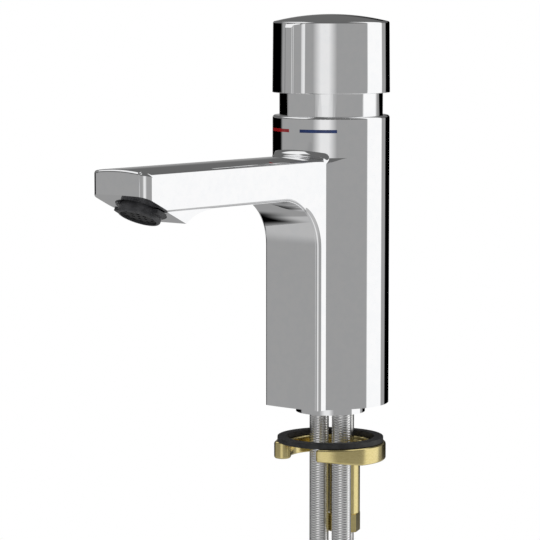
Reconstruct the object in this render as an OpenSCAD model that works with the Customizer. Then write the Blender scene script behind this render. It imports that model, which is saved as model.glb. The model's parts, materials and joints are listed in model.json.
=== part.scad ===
// Self-closing mixer tap for a single hole in a basin deck.
// The cap is pressed to run the water and turned to choose the temperature.
// Millimetres, +Z up, spout along -Y. The origin is on the column's axis, level with the deck's top.

/* [Column] */
// Diameter of the round column
column_d = 48; // [46:0.5:50]
// Height of the column above the deck
column_h = 118.5; // [114:0.5:126]
// Radius of the column's top edge
column_edge_r = 1.1; // [0.5:0.1:2]
// Distance from the column's axis to its flat front
front_reach = 26.1; // [25:0.1:29]
// Distance from the axis at which the side planes turn into slanting facets
facet_start = 21.2; // [20:0.1:23]
// Bow of the flat front and of the spout's underside across their width
front_bow = 0.5; // [0.2:0.1:0.9]
// Radius of the front's upright corners and of the spout's lower long edges
corner_r = 1.9; // [0.8:0.05:2]

/* [Spout] */
// Width of the spout
spout_w = 28.7; // [26:0.1:32]
// Distance from the column's axis to the spout's tip
spout_reach = 128.7; // [110:0.1:160]
// Distance from the column's top down to the spout's underside
spout_drop = 32.8; // [30:0.1:40]
// Height of the spout's side planes
spout_side_h = 15.7; // [14:0.1:18]
// Rise of the spout's arched top above its side planes
spout_arch = 1.3; // [0.5:0.1:2.5]
// Radius of the spout's upper long edges
spout_top_r = 2; // [1:0.1:3]
// Radius of the curve from the spout's underside down to the column's front
under_fillet_r = 19.5; // [14:0.5:24]
// Radius of the hollow between the spout's top and the column
root_fillet_r = 3; // [2:0.5:5]
// Radius of the tip's upright corners
tip_corner_r = 3.7; // [1.5:0.1:4]
// Bow of the tip's front face
tip_bow = 0.6; // [0.2:0.1:1]
// Height of the tip's lower edge above the spout's underside
tip_rise = 7.2; // [5.6:0.05:8]
// Slope of the tip's underside, in degrees
tip_slope = 25.4; // [20:0.2:30]
// Width of the water passage through the spout
waterway_w = 14; // [10:1:16]
// Height of the water passage through the spout
waterway_h = 7.4; // [6:0.2:8]

/* [Outlet] */
// Distance from the tip's lower edge along the slope to the aerator's centre
aerator_setback = 14.5; // [12.8:0.1:15]
// Diameter of the aerator's cup
aerator_d = 17; // [16:0.2:18]
// Distance that the cup stands out of the sloping face
aerator_out = 3.6; // [2:0.1:5]
// Diameter of the bore that the aerator screws into
aerator_bore_d = 20.4; // [19.6:0.2:22]
// Depth of that bore
aerator_bore_depth = 7; // [6.4:0.1:8]
// Distance from the aerator's centre to the ends of its two lugs
aerator_lug_reach = 11.3; // [10.8:0.1:12]
// Diameter of the rounded pad under the spout that carries the aerator
outlet_pad_d = 25.4; // [24.6:0.2:25.6]
// Length of the pad's ramp back to the spout's underside
outlet_ramp = 14; // [10:0.5:20]

/* [Cap] */
// Diameter of the cap at its lower edge
cap_d = 48.16; // [47.4:0.1:50]
// Narrowing of the cap's diameter towards its rim
cap_taper = 0.54; // [0:0.02:1]
// Height of the cap from its lower edge to its rim
cap_h = 29; // [27:0.5:34]
// Rise of the cap's domed top above its rim
cap_dome = 2.8; // [1:0.1:5]
// Radius of the cap's rim
cap_rim_r = 0.8; // [0.5:0.1:1.5]
// Gap between the column's top and the cap
cap_gap = 9.2; // [8:0.1:12]
// Distance that the cap is pressed
press_travel = 6; // [4:0.5:7]
// Thickness of the cap's skirt
cap_wall = 2.58; // [1.8:0.02:2.6]
// Width of the upright pointer groove in the cap
pointer_w = 10.4; // [8:0.2:12]
// Depth of the pointer groove
pointer_depth = 1.1; // [0.8:0.05:1.4]
// Turn of the cap to each side of the middle, in degrees
turn_each_way = 45; // [30:1:50]

/* [Neck and marks] */
// Radial gap between the neck and the cap that slides over it
neck_gap = 0.3; // [0.2:0.05:0.6]
// Height of the temperature marks
mark_h = 1.3; // [0.8:0.1:2]
// Distance from the column's top down to the marks
mark_drop = 5.1; // [4:0.1:8]
// Half the bare angle between the two marks, in degrees
mark_start = 6.5; // [3:0.5:12]
// Angle at which each mark ends, in degrees
mark_end = 44.2; // [30:0.2:60]
// Depth of the enamel in the marks
mark_depth = 0.3; // [0.2:0.05:0.5]

/* [Cartridge] */
// Diameter of the bore that holds the cartridge
chamber_d = 37; // [36:0.2:38]
// Depth of the chamber's floor below the column's top
chamber_depth = 52.5; // [51:0.5:55]
// Thickness of each ceramic disc
disc_t = 3.5; // [3:0.1:4]
// Inside diameter of the cartridge's housing
housing_bore_d = 31; // [30.4:0.2:32]
// Diameter of the rotor's barrel
barrel_d = 23; // [22:0.2:24]
// Diameter of the bore that the piston seals in
piston_bore_d = 16; // [14:0.2:17]
// Height of the piston
piston_h = 6; // [5:0.2:7]
// Size across the flats of the spindle
spindle_af = 7; // [6:0.1:8]
// Wire diameter of the return spring
spring_wire = 1.2; // [0.8:0.1:1.4]
// Mean diameter of the return spring
spring_d = 18; // [14:0.5:24]

/* [Under the deck] */
// Diameter of the spigot below the column
spigot_d = 28.6; // [28.2:0.1:32]
// Distance that the spigot stands below the column
spigot_h = 4; // [2:0.5:6]
// Diameter of the bore in the column's foot
foot_bore_d = 38; // [36:0.5:39]
// Thickness of the foot's insert inside the column
foot_insert_t = 10; // [8:0.5:12]
// Diameter of the stud
stud_d = 8; // [7:0.5:8]
// Distance from the column's axis to the stud's axis
stud_y = 9.5; // [9.3:0.1:9.7]
// Length of the stud below the deck's top
stud_drop = 80; // [70:1:110]
// Outside diameter of the rubber gasket
gasket_od = 43.9; // [42:0.1:46]
// Inside diameter of the rubber gasket
gasket_id = 36.1; // [33.6:0.1:37]
// Thickness of the rubber gasket
gasket_t = 2.3; // [1.5:0.05:4]
// Depth of the gasket's face below the deck's top
gasket_z = 14.5; // [13:0.05:30]
// Outside diameter of the brass bracket
bracket_od = 46; // [45.5:0.5:52]
// Inside diameter of the brass bracket
bracket_id = 33.2; // [32:0.2:34]
// Thickness of the brass bracket
bracket_t = 7.2; // [7:0.1:10]
// Thickness of the bracket's arm beside its mouth
bracket_tip_t = 4.9; // [4:0.1:6.5]
// Width of the bracket's mouth
bracket_mouth_w = 12.4; // [10:0.2:14]
// Diameter of the sleeve nut's sleeve
sleeve_d = 13.1; // [11:0.1:13.2]
// Length of the sleeve
sleeve_len = 24.3; // [20:0.1:30]
// Size across the flats of the sleeve nut's hexagon
sleeve_hex_af = 12; // [11:0.5:12]
// Length of that hexagon
sleeve_hex_len = 7.5; // [6:0.5:10]

/* [Hoses] */
// Distance from the column's axis to each hose in the column
hose_x = 5.9; // [5.6:0.1:6.4]
// Outside diameter of the braided hoses
hose_d = 8.1; // [7.6:0.1:8.4]
// Diameter of the crimped ferrules
ferrule_d = 10.2; // [9.6:0.1:10.4]
// Length of the crimped ferrules
ferrule_len = 16; // [12:0.5:18]
// Diameter of the hoses' upper threads
inlet_thread_d = 10; // [9:0.5:10]
// Length of the hoses' upper threads
inlet_thread_len = 9; // [7:0.5:10]
// Size across the flats of the hoses' upper hexagons
inlet_hex_af = 11; // [10:0.1:11]
// Length of the hoses' upper hexagons
inlet_hex_len = 6.5; // [5:0.5:7]
// Inside diameter of the union nuts' thread
union_thread_d = 14.95; // [14.6:0.05:15.2]
// Size across the flats of the union nuts
union_af = 19; // [18:0.5:21]
// Height of the union nuts
union_h = 15; // [14:0.5:18]

/* [Hidden] */

$fn = 96;
// Radial clearance of a piece that is screwed or pressed into its seat
seat_fit = 0.05;
// Radial clearance of a piece that turns or slides in another
run_fit = 0.1;
// Wider radial clearance, where a piece only passes through
pass_fit = 0.3;
// Length by which a cutting shape runs past the face that it cuts
over = 1;
// Length of a cutting shape that reaches past the whole spout
far = 2 * spout_reach;
// Depth by which the hollow's ends sink into the column and the spout
hollow_sink = 0.05;
// Clearance between a sealing ring and each side of its groove
groove_slack = 0.15;

column_r = column_d / 2;
half_w = spout_w / 2;
chamber_r = chamber_d / 2;
foot_r = foot_bore_d / 2;

// Where the side planes meet the facets, and where the facets touch the column
facet_corner_r = norm([half_w, facet_start]);
facet_corner_a = atan2(half_w, facet_start);
facet_touch_a = facet_corner_a + acos(column_r / facet_corner_r);
facet_touch = column_r * [sin(facet_touch_a), -cos(facet_touch_a)];

// The spout, seen from the side
spout_under_z = column_h - spout_drop;
tip_bottom_z = spout_under_z + tip_rise;
spout_side_top = spout_under_z + spout_side_h;
spout_top_z = spout_side_top + spout_arch;
arch_r = (half_w * half_w + spout_arch * spout_arch) / (2 * spout_arch);
side_edge_z = arch_z(half_w - spout_top_r) - spout_top_r;
front_bow_r = (half_w * half_w + front_bow * front_bow) / (2 * front_bow);
tip_bow_r = (half_w * half_w + tip_bow * tip_bow) / (2 * tip_bow);
fillet_start_z = spout_under_z - under_fillet_r;
fillet_axis_y = -front_reach - under_fillet_r;
waterway_drop = 3.8;
waterway_z = spout_under_z + (spout_side_h + waterway_h) / 2 - waterway_drop;

// The sloping face and the pad that carries the aerator
pad_r = outlet_pad_d / 2;
pad_back_y = -spout_reach + (aerator_setback + pad_r) * cos(tip_slope);
pad_back_z = tip_bottom_z - (aerator_setback + pad_r) * sin(tip_slope);
pad_drop = spout_under_z - pad_back_z;
ramp_r = (outlet_ramp * outlet_ramp + pad_drop * pad_drop) / (2 * pad_drop);
aerator_r = aerator_d / 2;
aerator_bore_r = aerator_bore_d / 2;
aerator_wall = 1.3;
aerator_edge_r = 0.9;
aerator_seal_t = 1.4;
aerator_seal_w = 2.3;
aerator_groove = 1.2;
aerator_lug_w = 5.4;
aerator_lug_t = 1.7;
aerator_lug_gap = 0.3;
insert_recess = 0.8;
insert_hole_r = 0.7;
insert_pitch = 2.8;

// The cap and the neck
cap_z = column_h + cap_gap;
cap_r = cap_d / 2;
cap_rim_z = cap_z + cap_h;
cap_top_r = cap_r - cap_taper / 2;
cap_bore_r = cap_r - cap_wall;
cap_top_t = 4.2;
cap_ceiling_z = cap_rim_z + cap_dome - cap_top_t;
dome_base_r = cap_top_r - cap_rim_r;
dome_r = (dome_base_r * dome_base_r + cap_dome * cap_dome) / (2 * cap_dome);
pointer_chord_y = sqrt(cap_r * cap_r - pointer_w * pointer_w / 4);
pointer_sag = pointer_depth - (cap_r - pointer_chord_y);
pointer_r = (pointer_w * pointer_w / 4 + pointer_sag * pointer_sag) / (2 * pointer_sag);
// Depth below the rim of the scoop at the groove's upper end
pointer_scoop = 2;
neck_r = cap_bore_r - neck_gap;
neck_top_z = cap_z + 2.3;
neck_plate_t = 4;
neck_thread_len = 6.2;
neck_bore_r = 15;

// The carrier under the cap, and the spring below it
carrier_t = 8;
carrier_gap = 1.2;
carrier_z = cap_ceiling_z - carrier_gap - carrier_t;
carrier_r = cap_bore_r - seat_fit;
carrier_head_d = 7;
grub_d = 4;
grub_z = carrier_z + carrier_t / 2;
grub_len = 8;
grub_key_af = 2;
grub_sink = 0.5;
carrier_head_depth = 3;
carrier_screw_d = 3;
carrier_key_af = 2.5;
spring_turns = 5;
spring_steps = 16;

// The cartridge, from its floor upwards
chamber_floor_z = column_h - chamber_depth;
inlet_seal_t = 1.6;
fixed_disc_z = chamber_floor_z + inlet_seal_t;
turning_disc_z = fixed_disc_z + disc_t;
rotor_z = turning_disc_z + disc_t;
rotor_flange_t = 4;
rotor_flange_z = rotor_z + rotor_flange_t;
barrel_r = barrel_d / 2;
piston_bore_r = piston_bore_d / 2;
wide_bore_r = piston_bore_r + 1.5;
piston_z = rotor_z + press_travel + 3.4;
seal_seat_z = piston_z;
spindle_r = spindle_af / 2;
spindle_tip_r = 2.5;
spindle_round_r = 3.4;
spindle_seal_wire = 1.6;
spindle_seal_z = neck_top_z - 2;
rotor_port_z = piston_z + piston_h + 3;
rotor_hex_z = rotor_port_z + 5;
rotor_top_z = column_h + 1.5;
housing_r = chamber_r - seat_fit;
housing_bore_r = housing_bore_d / 2;
clamp_ring_h = 8;
housing_top_z = column_h - neck_thread_len - groove_slack * 2 - clamp_ring_h;
housing_plate_t = 4;
housing_groove_r = housing_r - 1.3;
seal_wire = 1.5;
lower_seal_gap = 5;
upper_seal_gap = 4;
lower_seal_z = waterway_z - waterway_h / 2 - lower_seal_gap;
upper_seal_z = waterway_z + waterway_h / 2 + upper_seal_gap;
rib_r = housing_bore_r - 1.5;
rib_half_a = 10;
rib_slack_a = 0.6;
disc_port_r = 3;
slot_half_w = 2.5;
turning_disc_r = rib_r - 0.2;
peg_r = 1.4;
peg_y = 11;
peg_h = 2;

// The foot, the hoses' sockets and the deck seal
chamber_floor_t = 3;
hose_ceiling_z = chamber_floor_z - chamber_floor_t - inlet_thread_len;
hose_hole_r = hose_d / 2 + 0.55;
base_seal_r = foot_r + 1.5;
base_seal_w = 2;
base_seal_t = 1.6;

// The clamp under the deck
stud_r = stud_d / 2;
stud_chamfer = 0.8;
bracket_z = -gasket_z - gasket_t;
bracket_r = bracket_od / 2;
bracket_in_r = bracket_id / 2;
bracket_web_r = 6.4;
bracket_web_drop = 2;
bracket_knob_r = 3.5;
bracket_knob_a = -50;
bracket_mouth_x = 2.7;
bracket_ramp_y = -6;
sleeve_neck = 0.4;
sleeve_hex_a = -7;
nut_z = bracket_z - bracket_t;

// The hoses' routes, from the upper ferrules down to the lower ones, which stand further apart
hot_hex_gap = 1.5;
cold_hex_gap = 1;
hot_top_z = hose_ceiling_z - hot_hex_gap - inlet_hex_len - ferrule_len;
cold_top_z = hot_top_z - cold_hex_gap - inlet_hex_len;
hose_depth = 312;
hot_foot = [-14, 2];
cold_foot = [14.5, -1];
spread_from_z = -90;
spread_to_z = -265;
route_steps = 18;
hot_route = route(-hose_x, hot_foot, hot_top_z);
cold_route = route(hose_x, cold_foot, cold_top_z);
hot_end = hot_route[len(hot_route) - 1];
cold_end = cold_route[len(cold_route) - 1];
hose_sides = 10;
hose_tail_r = 2.9;
hose_bore_r = 2;
inlet_pipe_r = inlet_thread_d / 2 - 1.2;
tail_neck_r = 5.3;
tail_neck_len = 5.6;
tail_collar_r = union_thread_d / 2 - 0.375;
tail_collar_t = 2.4;
union_seal_t = 1.8;
union_top_t = 2.6;
union_relief_r = union_thread_d / 2 + 0.225;
union_seal_bore_r = 4.4;

function eased(f) = let (g = max(0, min(1, f))) g * g * (3 - 2 * g);
function along(x, foot, z) =
    let (f = eased((z - spread_from_z) / (spread_to_z - spread_from_z)))
    [x + f * (foot[0] - x), f * foot[1], z];
function route(x, foot, top_z) =
    [for (k = [0 : route_steps]) along(x, foot, top_z - (top_z + hose_depth) * k / route_steps)];

function unit(v) = v / norm(v);
function heading(p, i) = unit(p[min(i + 1, len(p) - 1)] - p[max(i - 1, 0)]);
function ring(p, i, r, sides, ref) =
    let (t = heading(p, i), u = unit(cross(t, ref)), v = cross(t, u))
    [for (k = [0 : sides - 1]) p[i] + r * (cos(360 * k / sides) * u + sin(360 * k / sides) * v)];

// A round tube along the points p; ref is a direction that the path never takes
module tube(p, r, sides, ref) {
    last = (len(p) - 1) * sides;
    points = [for (i = [0 : len(p) - 1]) each ring(p, i, r, sides, ref)];
    walls = [
        for (i = [0 : len(p) - 2]) for (k = [0 : sides - 1])
            let (a = i * sides + k, b = i * sides + (k + 1) % sides)
            each [[a, b + sides, b], [a, a + sides, b + sides]]
    ];
    near_end = [for (k = [0 : sides - 1]) k];
    far_end = [for (k = [sides - 1 : -1 : 0]) last + k];
    polyhedron(points, concat([near_end, far_end], walls));
}

module washer(outer_r, inner_r, h, z) {
    translate([0, 0, z]) difference() {
        cylinder(r = outer_r, h = h);
        translate([0, 0, -over]) cylinder(r = inner_r, h = h + 2 * over);
    }
}

// A section for turning, from inner_r to outer_r, with its two outer corners rounded
module rounded_section(inner_r, outer_r, h, edge_r) {
    translate([inner_r, 0]) square([outer_r - inner_r - edge_r, h]);
    translate([inner_r, edge_r]) square([outer_r - inner_r, h - 2 * edge_r]);
    for (z = [edge_r, h - edge_r]) translate([outer_r - edge_r, z]) circle(r = edge_r, $fn = 48);
}

module o_ring(mean_r, wire, z) {
    translate([0, 0, z]) rotate_extrude() translate([mean_r, 0]) circle(d = wire, $fn = 32);
}

module ring_groove(outer_r, inner_r, z) {
    washer(outer_r, inner_r, seal_wire + 2 * groove_slack, z - seal_wire / 2 - groove_slack);
}

module hexagon(af, h, z) {
    translate([0, 0, z]) cylinder(d = af / cos(30), h = h, $fn = 6);
}

// A part of a ring about the column's axis; angles run from the spout's direction towards +X
module sector(inner_r, outer_r, h, z, from_a, to_a) {
    translate([0, 0, z]) rotate([0, 0, from_a - 90]) rotate_extrude(angle = to_a - from_a)
        translate([inner_r, 0]) square([outer_r - inner_r, h]);
}

// The same to both sides of the column's back
module back_sector(inner_r, outer_r, h, z, half_a) {
    rotate([0, 0, 180]) sector(inner_r, outer_r, h, z, -half_a, half_a);
}

// A bar's section with its bowed face towards +Y at y = 0 and its body below that
module bowed_face(depth) {
    intersection() {
        union() {
            translate([-half_w, -depth]) square([spout_w, depth - corner_r - front_bow]);
            translate([-half_w + corner_r, -depth]) square([spout_w - 2 * corner_r, depth]);
            for (side = [-1, 1])
                translate([side * (half_w - corner_r), -corner_r - front_bow]) circle(r = corner_r);
        }
        translate([0, -front_bow_r]) circle(r = front_bow_r, $fn = 360);
    }
}

// The column's front, seen from above, with its two slanting facets
module column_front() {
    translate([0, -front_reach]) mirror([0, 1]) bowed_face(front_reach);
    facets();
}

module facets() {
    for (side = [-1, 1]) polygon([
        [0, 0],
        [side * facet_touch[0], facet_touch[1]],
        [side * half_w, -facet_start],
        [0, -facet_start]
    ]);
}

module spout_section() {
    intersection() {
        union() {
            translate([0, spout_under_z]) mirror([0, 1]) bowed_face(side_edge_z - spout_under_z);
            translate([-half_w + spout_top_r, spout_under_z + corner_r + front_bow])
                square([spout_w - 2 * spout_top_r, spout_side_h + spout_arch - corner_r - front_bow]);
            for (side = [-1, 1])
                translate([side * (half_w - spout_top_r), side_edge_z]) circle(r = spout_top_r);
        }
        translate([0, spout_top_z - arch_r]) circle(r = arch_r, $fn = 360);
    }
}

module tip_plan() {
    intersection() {
        union() {
            translate([-half_w, -spout_reach + tip_corner_r + tip_bow])
                square([spout_w, spout_reach - tip_corner_r - tip_bow]);
            translate([-half_w + tip_corner_r, -spout_reach])
                square([spout_w - 2 * tip_corner_r, spout_reach]);
            for (side = [-1, 1])
                translate([side * (half_w - tip_corner_r), -spout_reach + tip_corner_r + tip_bow])
                    circle(r = tip_corner_r);
        }
        translate([0, -spout_reach + tip_bow_r]) circle(r = tip_bow_r, $fn = 360);
    }
}

// Puts its children on the sloping face at the aerator's centre, with -Z out of the face
module on_slope() {
    translate([0, -spout_reach, tip_bottom_z]) rotate([-tip_slope, 0, 0])
        translate([0, aerator_setback, 0]) children();
}

// Turns a profile drawn in Y and Z into a slab across X
module across(width) {
    rotate([90, 0, 90]) translate([0, 0, -width / 2]) linear_extrude(width) children();
}

module outlet_pad() {
    slab_back = -pad_back_y - outlet_ramp;
    intersection() {
        across(2 * pad_r) difference() {
            translate([-spout_reach + over, pad_back_z - over])
                square([spout_reach - over - slab_back, pad_drop + corner_r + front_bow + 2 * over]);
            translate([pad_back_y + outlet_ramp, spout_under_z - ramp_r]) circle(r = ramp_r, $fn = 360);
            translate([-spout_reach, tip_bottom_z]) rotate(-tip_slope)
                translate([-far, -far]) square([aerator_setback + pad_r + far, far]);
        }
        union() {
            on_slope() cylinder(r = pad_r, h = 2 * spout_side_h, center = true);
            translate([-pad_r, -spout_reach + aerator_setback * cos(tip_slope), pad_back_z - over])
                cube([2 * pad_r, spout_reach, spout_side_h]);
        }
    }
}

module spout_solid() {
    difference() {
        intersection() {
            rotate([90, 0, 0]) linear_extrude(spout_reach) spout_section();
            linear_extrude(spout_top_z + over) tip_plan();
        }
        on_slope() translate([-spout_w, -aerator_setback - 2 * over, -far])
            cube([2 * spout_w, spout_reach, far]);
    }
    translate([0, fillet_axis_y, fillet_start_z]) rotate([0, 90, 0]) rotate([0, 0, 90])
        rotate_extrude(angle = 90, $fn = 180)
            translate([under_fillet_r, 0]) rotate(90) bowed_face(side_edge_z - spout_under_z - over);
    outlet_pad();
}

// Heights across the spout's top: its arch, and the rounding down to the side plane
function arch_z(x) = spout_top_z - arch_r + sqrt(arch_r * arch_r - x * x);
function edge_run(x) = max(0, abs(x) - half_w + spout_top_r);
function edge_z(x) = side_edge_z + sqrt(max(0, spout_top_r * spout_top_r - pow(edge_run(x), 2)));
function spout_top(x) = edge_run(x) > 0 ? min(arch_z(x), edge_z(x)) : arch_z(x);

// The hollow between the spout's top and the column, following the arch and the rounded edges.
// Its ends sink a little into both, so that they cross cleanly.
module root_fillet() {
    sections = 32;
    steps = 10;
    width_at = [for (i = [0:sections]) half_w * cos(180 * i / sections)];
    turn_at = [for (k = [0:steps]) 90 * k / steps];
    reach_at = [for (a = turn_at) column_r - hollow_sink + root_fillet_r * (1 - sin(a))];
    rise_at = [for (a = turn_at) root_fillet_r * (1 - cos(a)) - hollow_sink];
    inner_r = column_r - over;
    top = [for (x = width_at) each [
        for (k = [0:steps]) [x, -sqrt(pow(reach_at[k], 2) - x * x), spout_top(x) + rise_at[k]],
        [x, -sqrt(inner_r * inner_r - x * x), spout_top(x) + rise_at[steps]]
    ]];
    row = steps + 2;
    count = len(top);
    points = concat(top, [for (p = top) [p[0], p[1], side_edge_z - over]]);
    polyhedron(points, [
        for (i = [0:sections - 1]) for (k = [0:row - 2]) let (a = i * row + k) each [
            [a, a + 1, a + row], [a + 1, a + row + 1, a + row],
            [count + a, count + a + row, count + a + 1],
            [count + a + 1, count + a + row, count + a + row + 1]
        ],
        for (k = [0:row - 2]) let (b = sections * row + k) each [
            [k, count + k, k + 1], [k + 1, count + k, count + k + 1],
            [b, b + 1, count + b], [b + 1, count + b + 1, count + b]
        ],
        for (i = [0:sections - 1]) let (a = i * row, b = a + row - 1) each [
            [a, a + row, count + a], [a + row, count + a + row, count + a],
            [b, count + b, b + row], [b + row, count + b, count + b + row]
        ]
    ]);
    // The hollow above the slanting facets
    translate([0, 0, side_edge_z - over - hollow_sink]) intersection() {
        rotate_extrude() difference() {
            translate([column_r - over, 0]) square([root_fillet_r + over, root_fillet_r + over]);
            translate([column_r - hollow_sink + root_fillet_r, root_fillet_r + over - hollow_sink])
                circle(r = root_fillet_r);
        }
        linear_extrude(root_fillet_r + over) facets();
    }
}

module column_solid() {
    rotate_extrude() {
        square([column_r, column_h - column_edge_r]);
        square([column_r - column_edge_r, column_h]);
        translate([column_r - column_edge_r, column_h - column_edge_r]) circle(r = column_edge_r);
    }
    linear_extrude(side_edge_z) column_front();
}

module mark_groove(from_a, to_a) {
    sector(column_r - mark_depth, column_r + over, mark_h, column_h - mark_drop - mark_h, from_a, to_a);
}

module water_passages() {
    translate([0, 0, chamber_floor_z]) cylinder(r = chamber_r, h = column_h);
    rotate([90, 0, 0]) linear_extrude(spout_reach - aerator_setback) translate([0, waterway_z]) {
        square([waterway_w - waterway_h, waterway_h], center = true);
        for (side = [-1, 1]) translate([side * (waterway_w - waterway_h) / 2, 0]) circle(d = waterway_h);
    }
    on_slope() translate([0, 0, -over]) cylinder(r = aerator_bore_r, h = aerator_bore_depth + over);
    for (side = [-1, 1]) translate([side * hose_x, 0, 0]) {
        translate([0, 0, hose_ceiling_z - over])
            cylinder(r = inlet_thread_d / 2 + seat_fit, h = inlet_thread_len + over);
        translate([0, 0, hose_ceiling_z]) cylinder(r = disc_port_r, h = chamber_floor_z);
    }
}

module tap_body() {
    color("silver") difference() {
        union() {
            column_solid();
            spout_solid();
            root_fillet();
        }
        water_passages();
        translate([0, 0, -over]) cylinder(r = foot_r, h = hose_ceiling_z + over);
        washer(base_seal_r + base_seal_w, base_seal_r, base_seal_t + over, -over);
        mark_groove(mark_start, mark_end);
        mark_groove(-mark_end, -mark_start);
    }
}

module enamel(from_a, to_a) {
    sector(column_r - mark_depth, column_r, mark_h, column_h - mark_drop - mark_h, from_a, to_a);
}

module hot_mark() {
    color("firebrick") enamel(-mark_end, -mark_start);
}

module cold_mark() {
    color("midnightblue") enamel(mark_start, mark_end);
}

module grub_hole(r) {
    translate([0, 0, grub_z]) rotate([-90, 0, 0]) cylinder(r = r, h = cap_d);
}

module push_cap() {
    rim_start_z = cap_rim_z - cap_rim_r;
    color("silver") difference() {
        rotate_extrude() {
            polygon([[0, cap_z], [cap_r, cap_z], [cap_top_r, rim_start_z], [0, rim_start_z]]);
            translate([0, rim_start_z - cap_rim_r]) square([dome_base_r, 2 * cap_rim_r]);
            translate([dome_base_r, rim_start_z]) circle(r = cap_rim_r);
            intersection() {
                translate([0, cap_rim_z + cap_dome - dome_r]) circle(r = dome_r, $fn = 360);
                translate([0, cap_rim_z - over]) square([dome_base_r, cap_dome + over]);
            }
        }
        translate([0, 0, cap_z - over]) cylinder(r = cap_bore_r, h = cap_ceiling_z - cap_z + over);
        translate([0, -pointer_chord_y - pointer_r + pointer_sag, cap_z - over])
            cylinder(r = pointer_r, h = cap_h + cap_dome + 2 * over, $fn = 240);
        translate([0, -cap_top_r + pointer_depth, cap_rim_z - pointer_scoop]) rotate([45, 0, 0])
            translate([0, 0, pointer_w]) rotate([90, 0, 0])
                cylinder(r = pointer_w, h = cap_r, center = true);
        grub_hole(grub_d / 2 + seat_fit);
    }
}

// The disc on the spindle that the cap slips over
module cap_carrier() {
    color("whitesmoke") difference() {
        translate([0, 0, carrier_z]) cylinder(r = carrier_r, h = carrier_t);
        translate([0, 0, carrier_z - over])
            cylinder(r = spindle_tip_r + seat_fit, h = carrier_t + 2 * over);
        translate([0, 0, carrier_z + carrier_t - carrier_head_depth])
            cylinder(d = carrier_head_d + 1, h = carrier_head_depth + over);
        translate([0, 0, grub_z]) rotate([-90, 0, 0]) translate([0, 0, cap_r - grub_len - grub_sink])
            cylinder(r = grub_d / 2 + seat_fit, h = grub_len);
    }
}

module cap_grub_screw() {
    color("dimgray") translate([0, cap_r - grub_sink, grub_z]) rotate([90, 0, 0]) difference() {
        cylinder(d = grub_d, h = grub_len);
        hexagon(grub_key_af, grub_key_af + over, -over);
    }
}

module carrier_screw() {
    color("dimgray") difference() {
        union() {
            translate([0, 0, carrier_z + carrier_t - carrier_head_depth])
                cylinder(d = carrier_head_d, h = carrier_head_depth - 0.4);
            translate([0, 0, carrier_z - carrier_screw_d])
                cylinder(d = carrier_screw_d, h = carrier_t + 1);
        }
        hexagon(carrier_key_af, 2, carrier_z + carrier_t - 2);
    }
}

module neck_sleeve() {
    color("silver") difference() {
        union() {
            translate([0, 0, column_h]) cylinder(r = neck_r, h = neck_top_z - column_h);
            translate([0, 0, column_h - neck_thread_len])
                cylinder(r = chamber_r - seat_fit, h = neck_thread_len + over);
        }
        translate([0, 0, column_h - neck_thread_len - over])
            cylinder(r = neck_bore_r, h = neck_top_z - neck_plate_t - column_h + neck_thread_len + over);
        cylinder(r = spindle_round_r + run_fit, h = neck_top_z + over);
        translate([0, 0, spindle_seal_z - spindle_seal_wire / 2])
            cylinder(r = spindle_round_r + spindle_seal_wire, h = spindle_seal_wire);
    }
}

module spindle_seal() {
    color("black") o_ring(spindle_round_r + spindle_seal_wire / 2, spindle_seal_wire, spindle_seal_z);
}

function helix(turns, steps, r, z0, z1) =
    [for (i = [0 : turns * steps]) let (a = 360 * i / steps, f = i / (turns * steps))
        [r * cos(a), r * sin(a), z0 + f * (z1 - z0)]];

module return_spring() {
    z0 = neck_top_z + spring_wire / 2;
    z1 = carrier_z - spring_wire / 2;
    coil = helix(spring_turns, spring_steps, spring_d / 2, z0, z1);
    color("lightsteelblue") tube(coil, spring_wire / 2, 8, [0, 0, 1]);
}

// Hexagonal in the rotor, round in the neck, with a thinner end at the bottom for the piston
module spindle() {
    hex_top_z = neck_top_z - neck_plate_t - 2;
    color("lightsteelblue") difference() {
        union() {
            translate([0, 0, piston_z]) cylinder(r = spindle_tip_r, h = piston_h);
            hexagon(spindle_af, hex_top_z - piston_z - piston_h, piston_z + piston_h);
            translate([0, 0, hex_top_z]) cylinder(r = spindle_round_r, h = carrier_z - hex_top_z);
            translate([0, 0, carrier_z]) cylinder(r = spindle_tip_r, h = carrier_t - carrier_head_depth);
        }
        translate([0, 0, carrier_z - carrier_screw_d]) cylinder(d = carrier_screw_d, h = carrier_t);
    }
}

module piston() {
    color("whitesmoke") difference() {
        translate([0, 0, piston_z]) cylinder(r = piston_bore_r - run_fit, h = piston_h);
        translate([0, 0, piston_z - over])
            cylinder(r = spindle_tip_r + seat_fit / 2, h = piston_h + 2 * over);
        ring_groove(piston_bore_r + over, piston_bore_r - run_fit - seal_wire, piston_z + piston_h / 2);
    }
}

module piston_seal() {
    color("black") o_ring(piston_bore_r - run_fit - seal_wire / 2, seal_wire, piston_z + piston_h / 2);
}

// The pegs on the rotor's underside, and with slack the holes for them
module pegs(slack) {
    for (side = [-1, 1]) translate([0, side * peg_y, rotor_z - peg_h - slack])
        cylinder(r = peg_r + slack, h = peg_h + over + slack);
}

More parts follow.
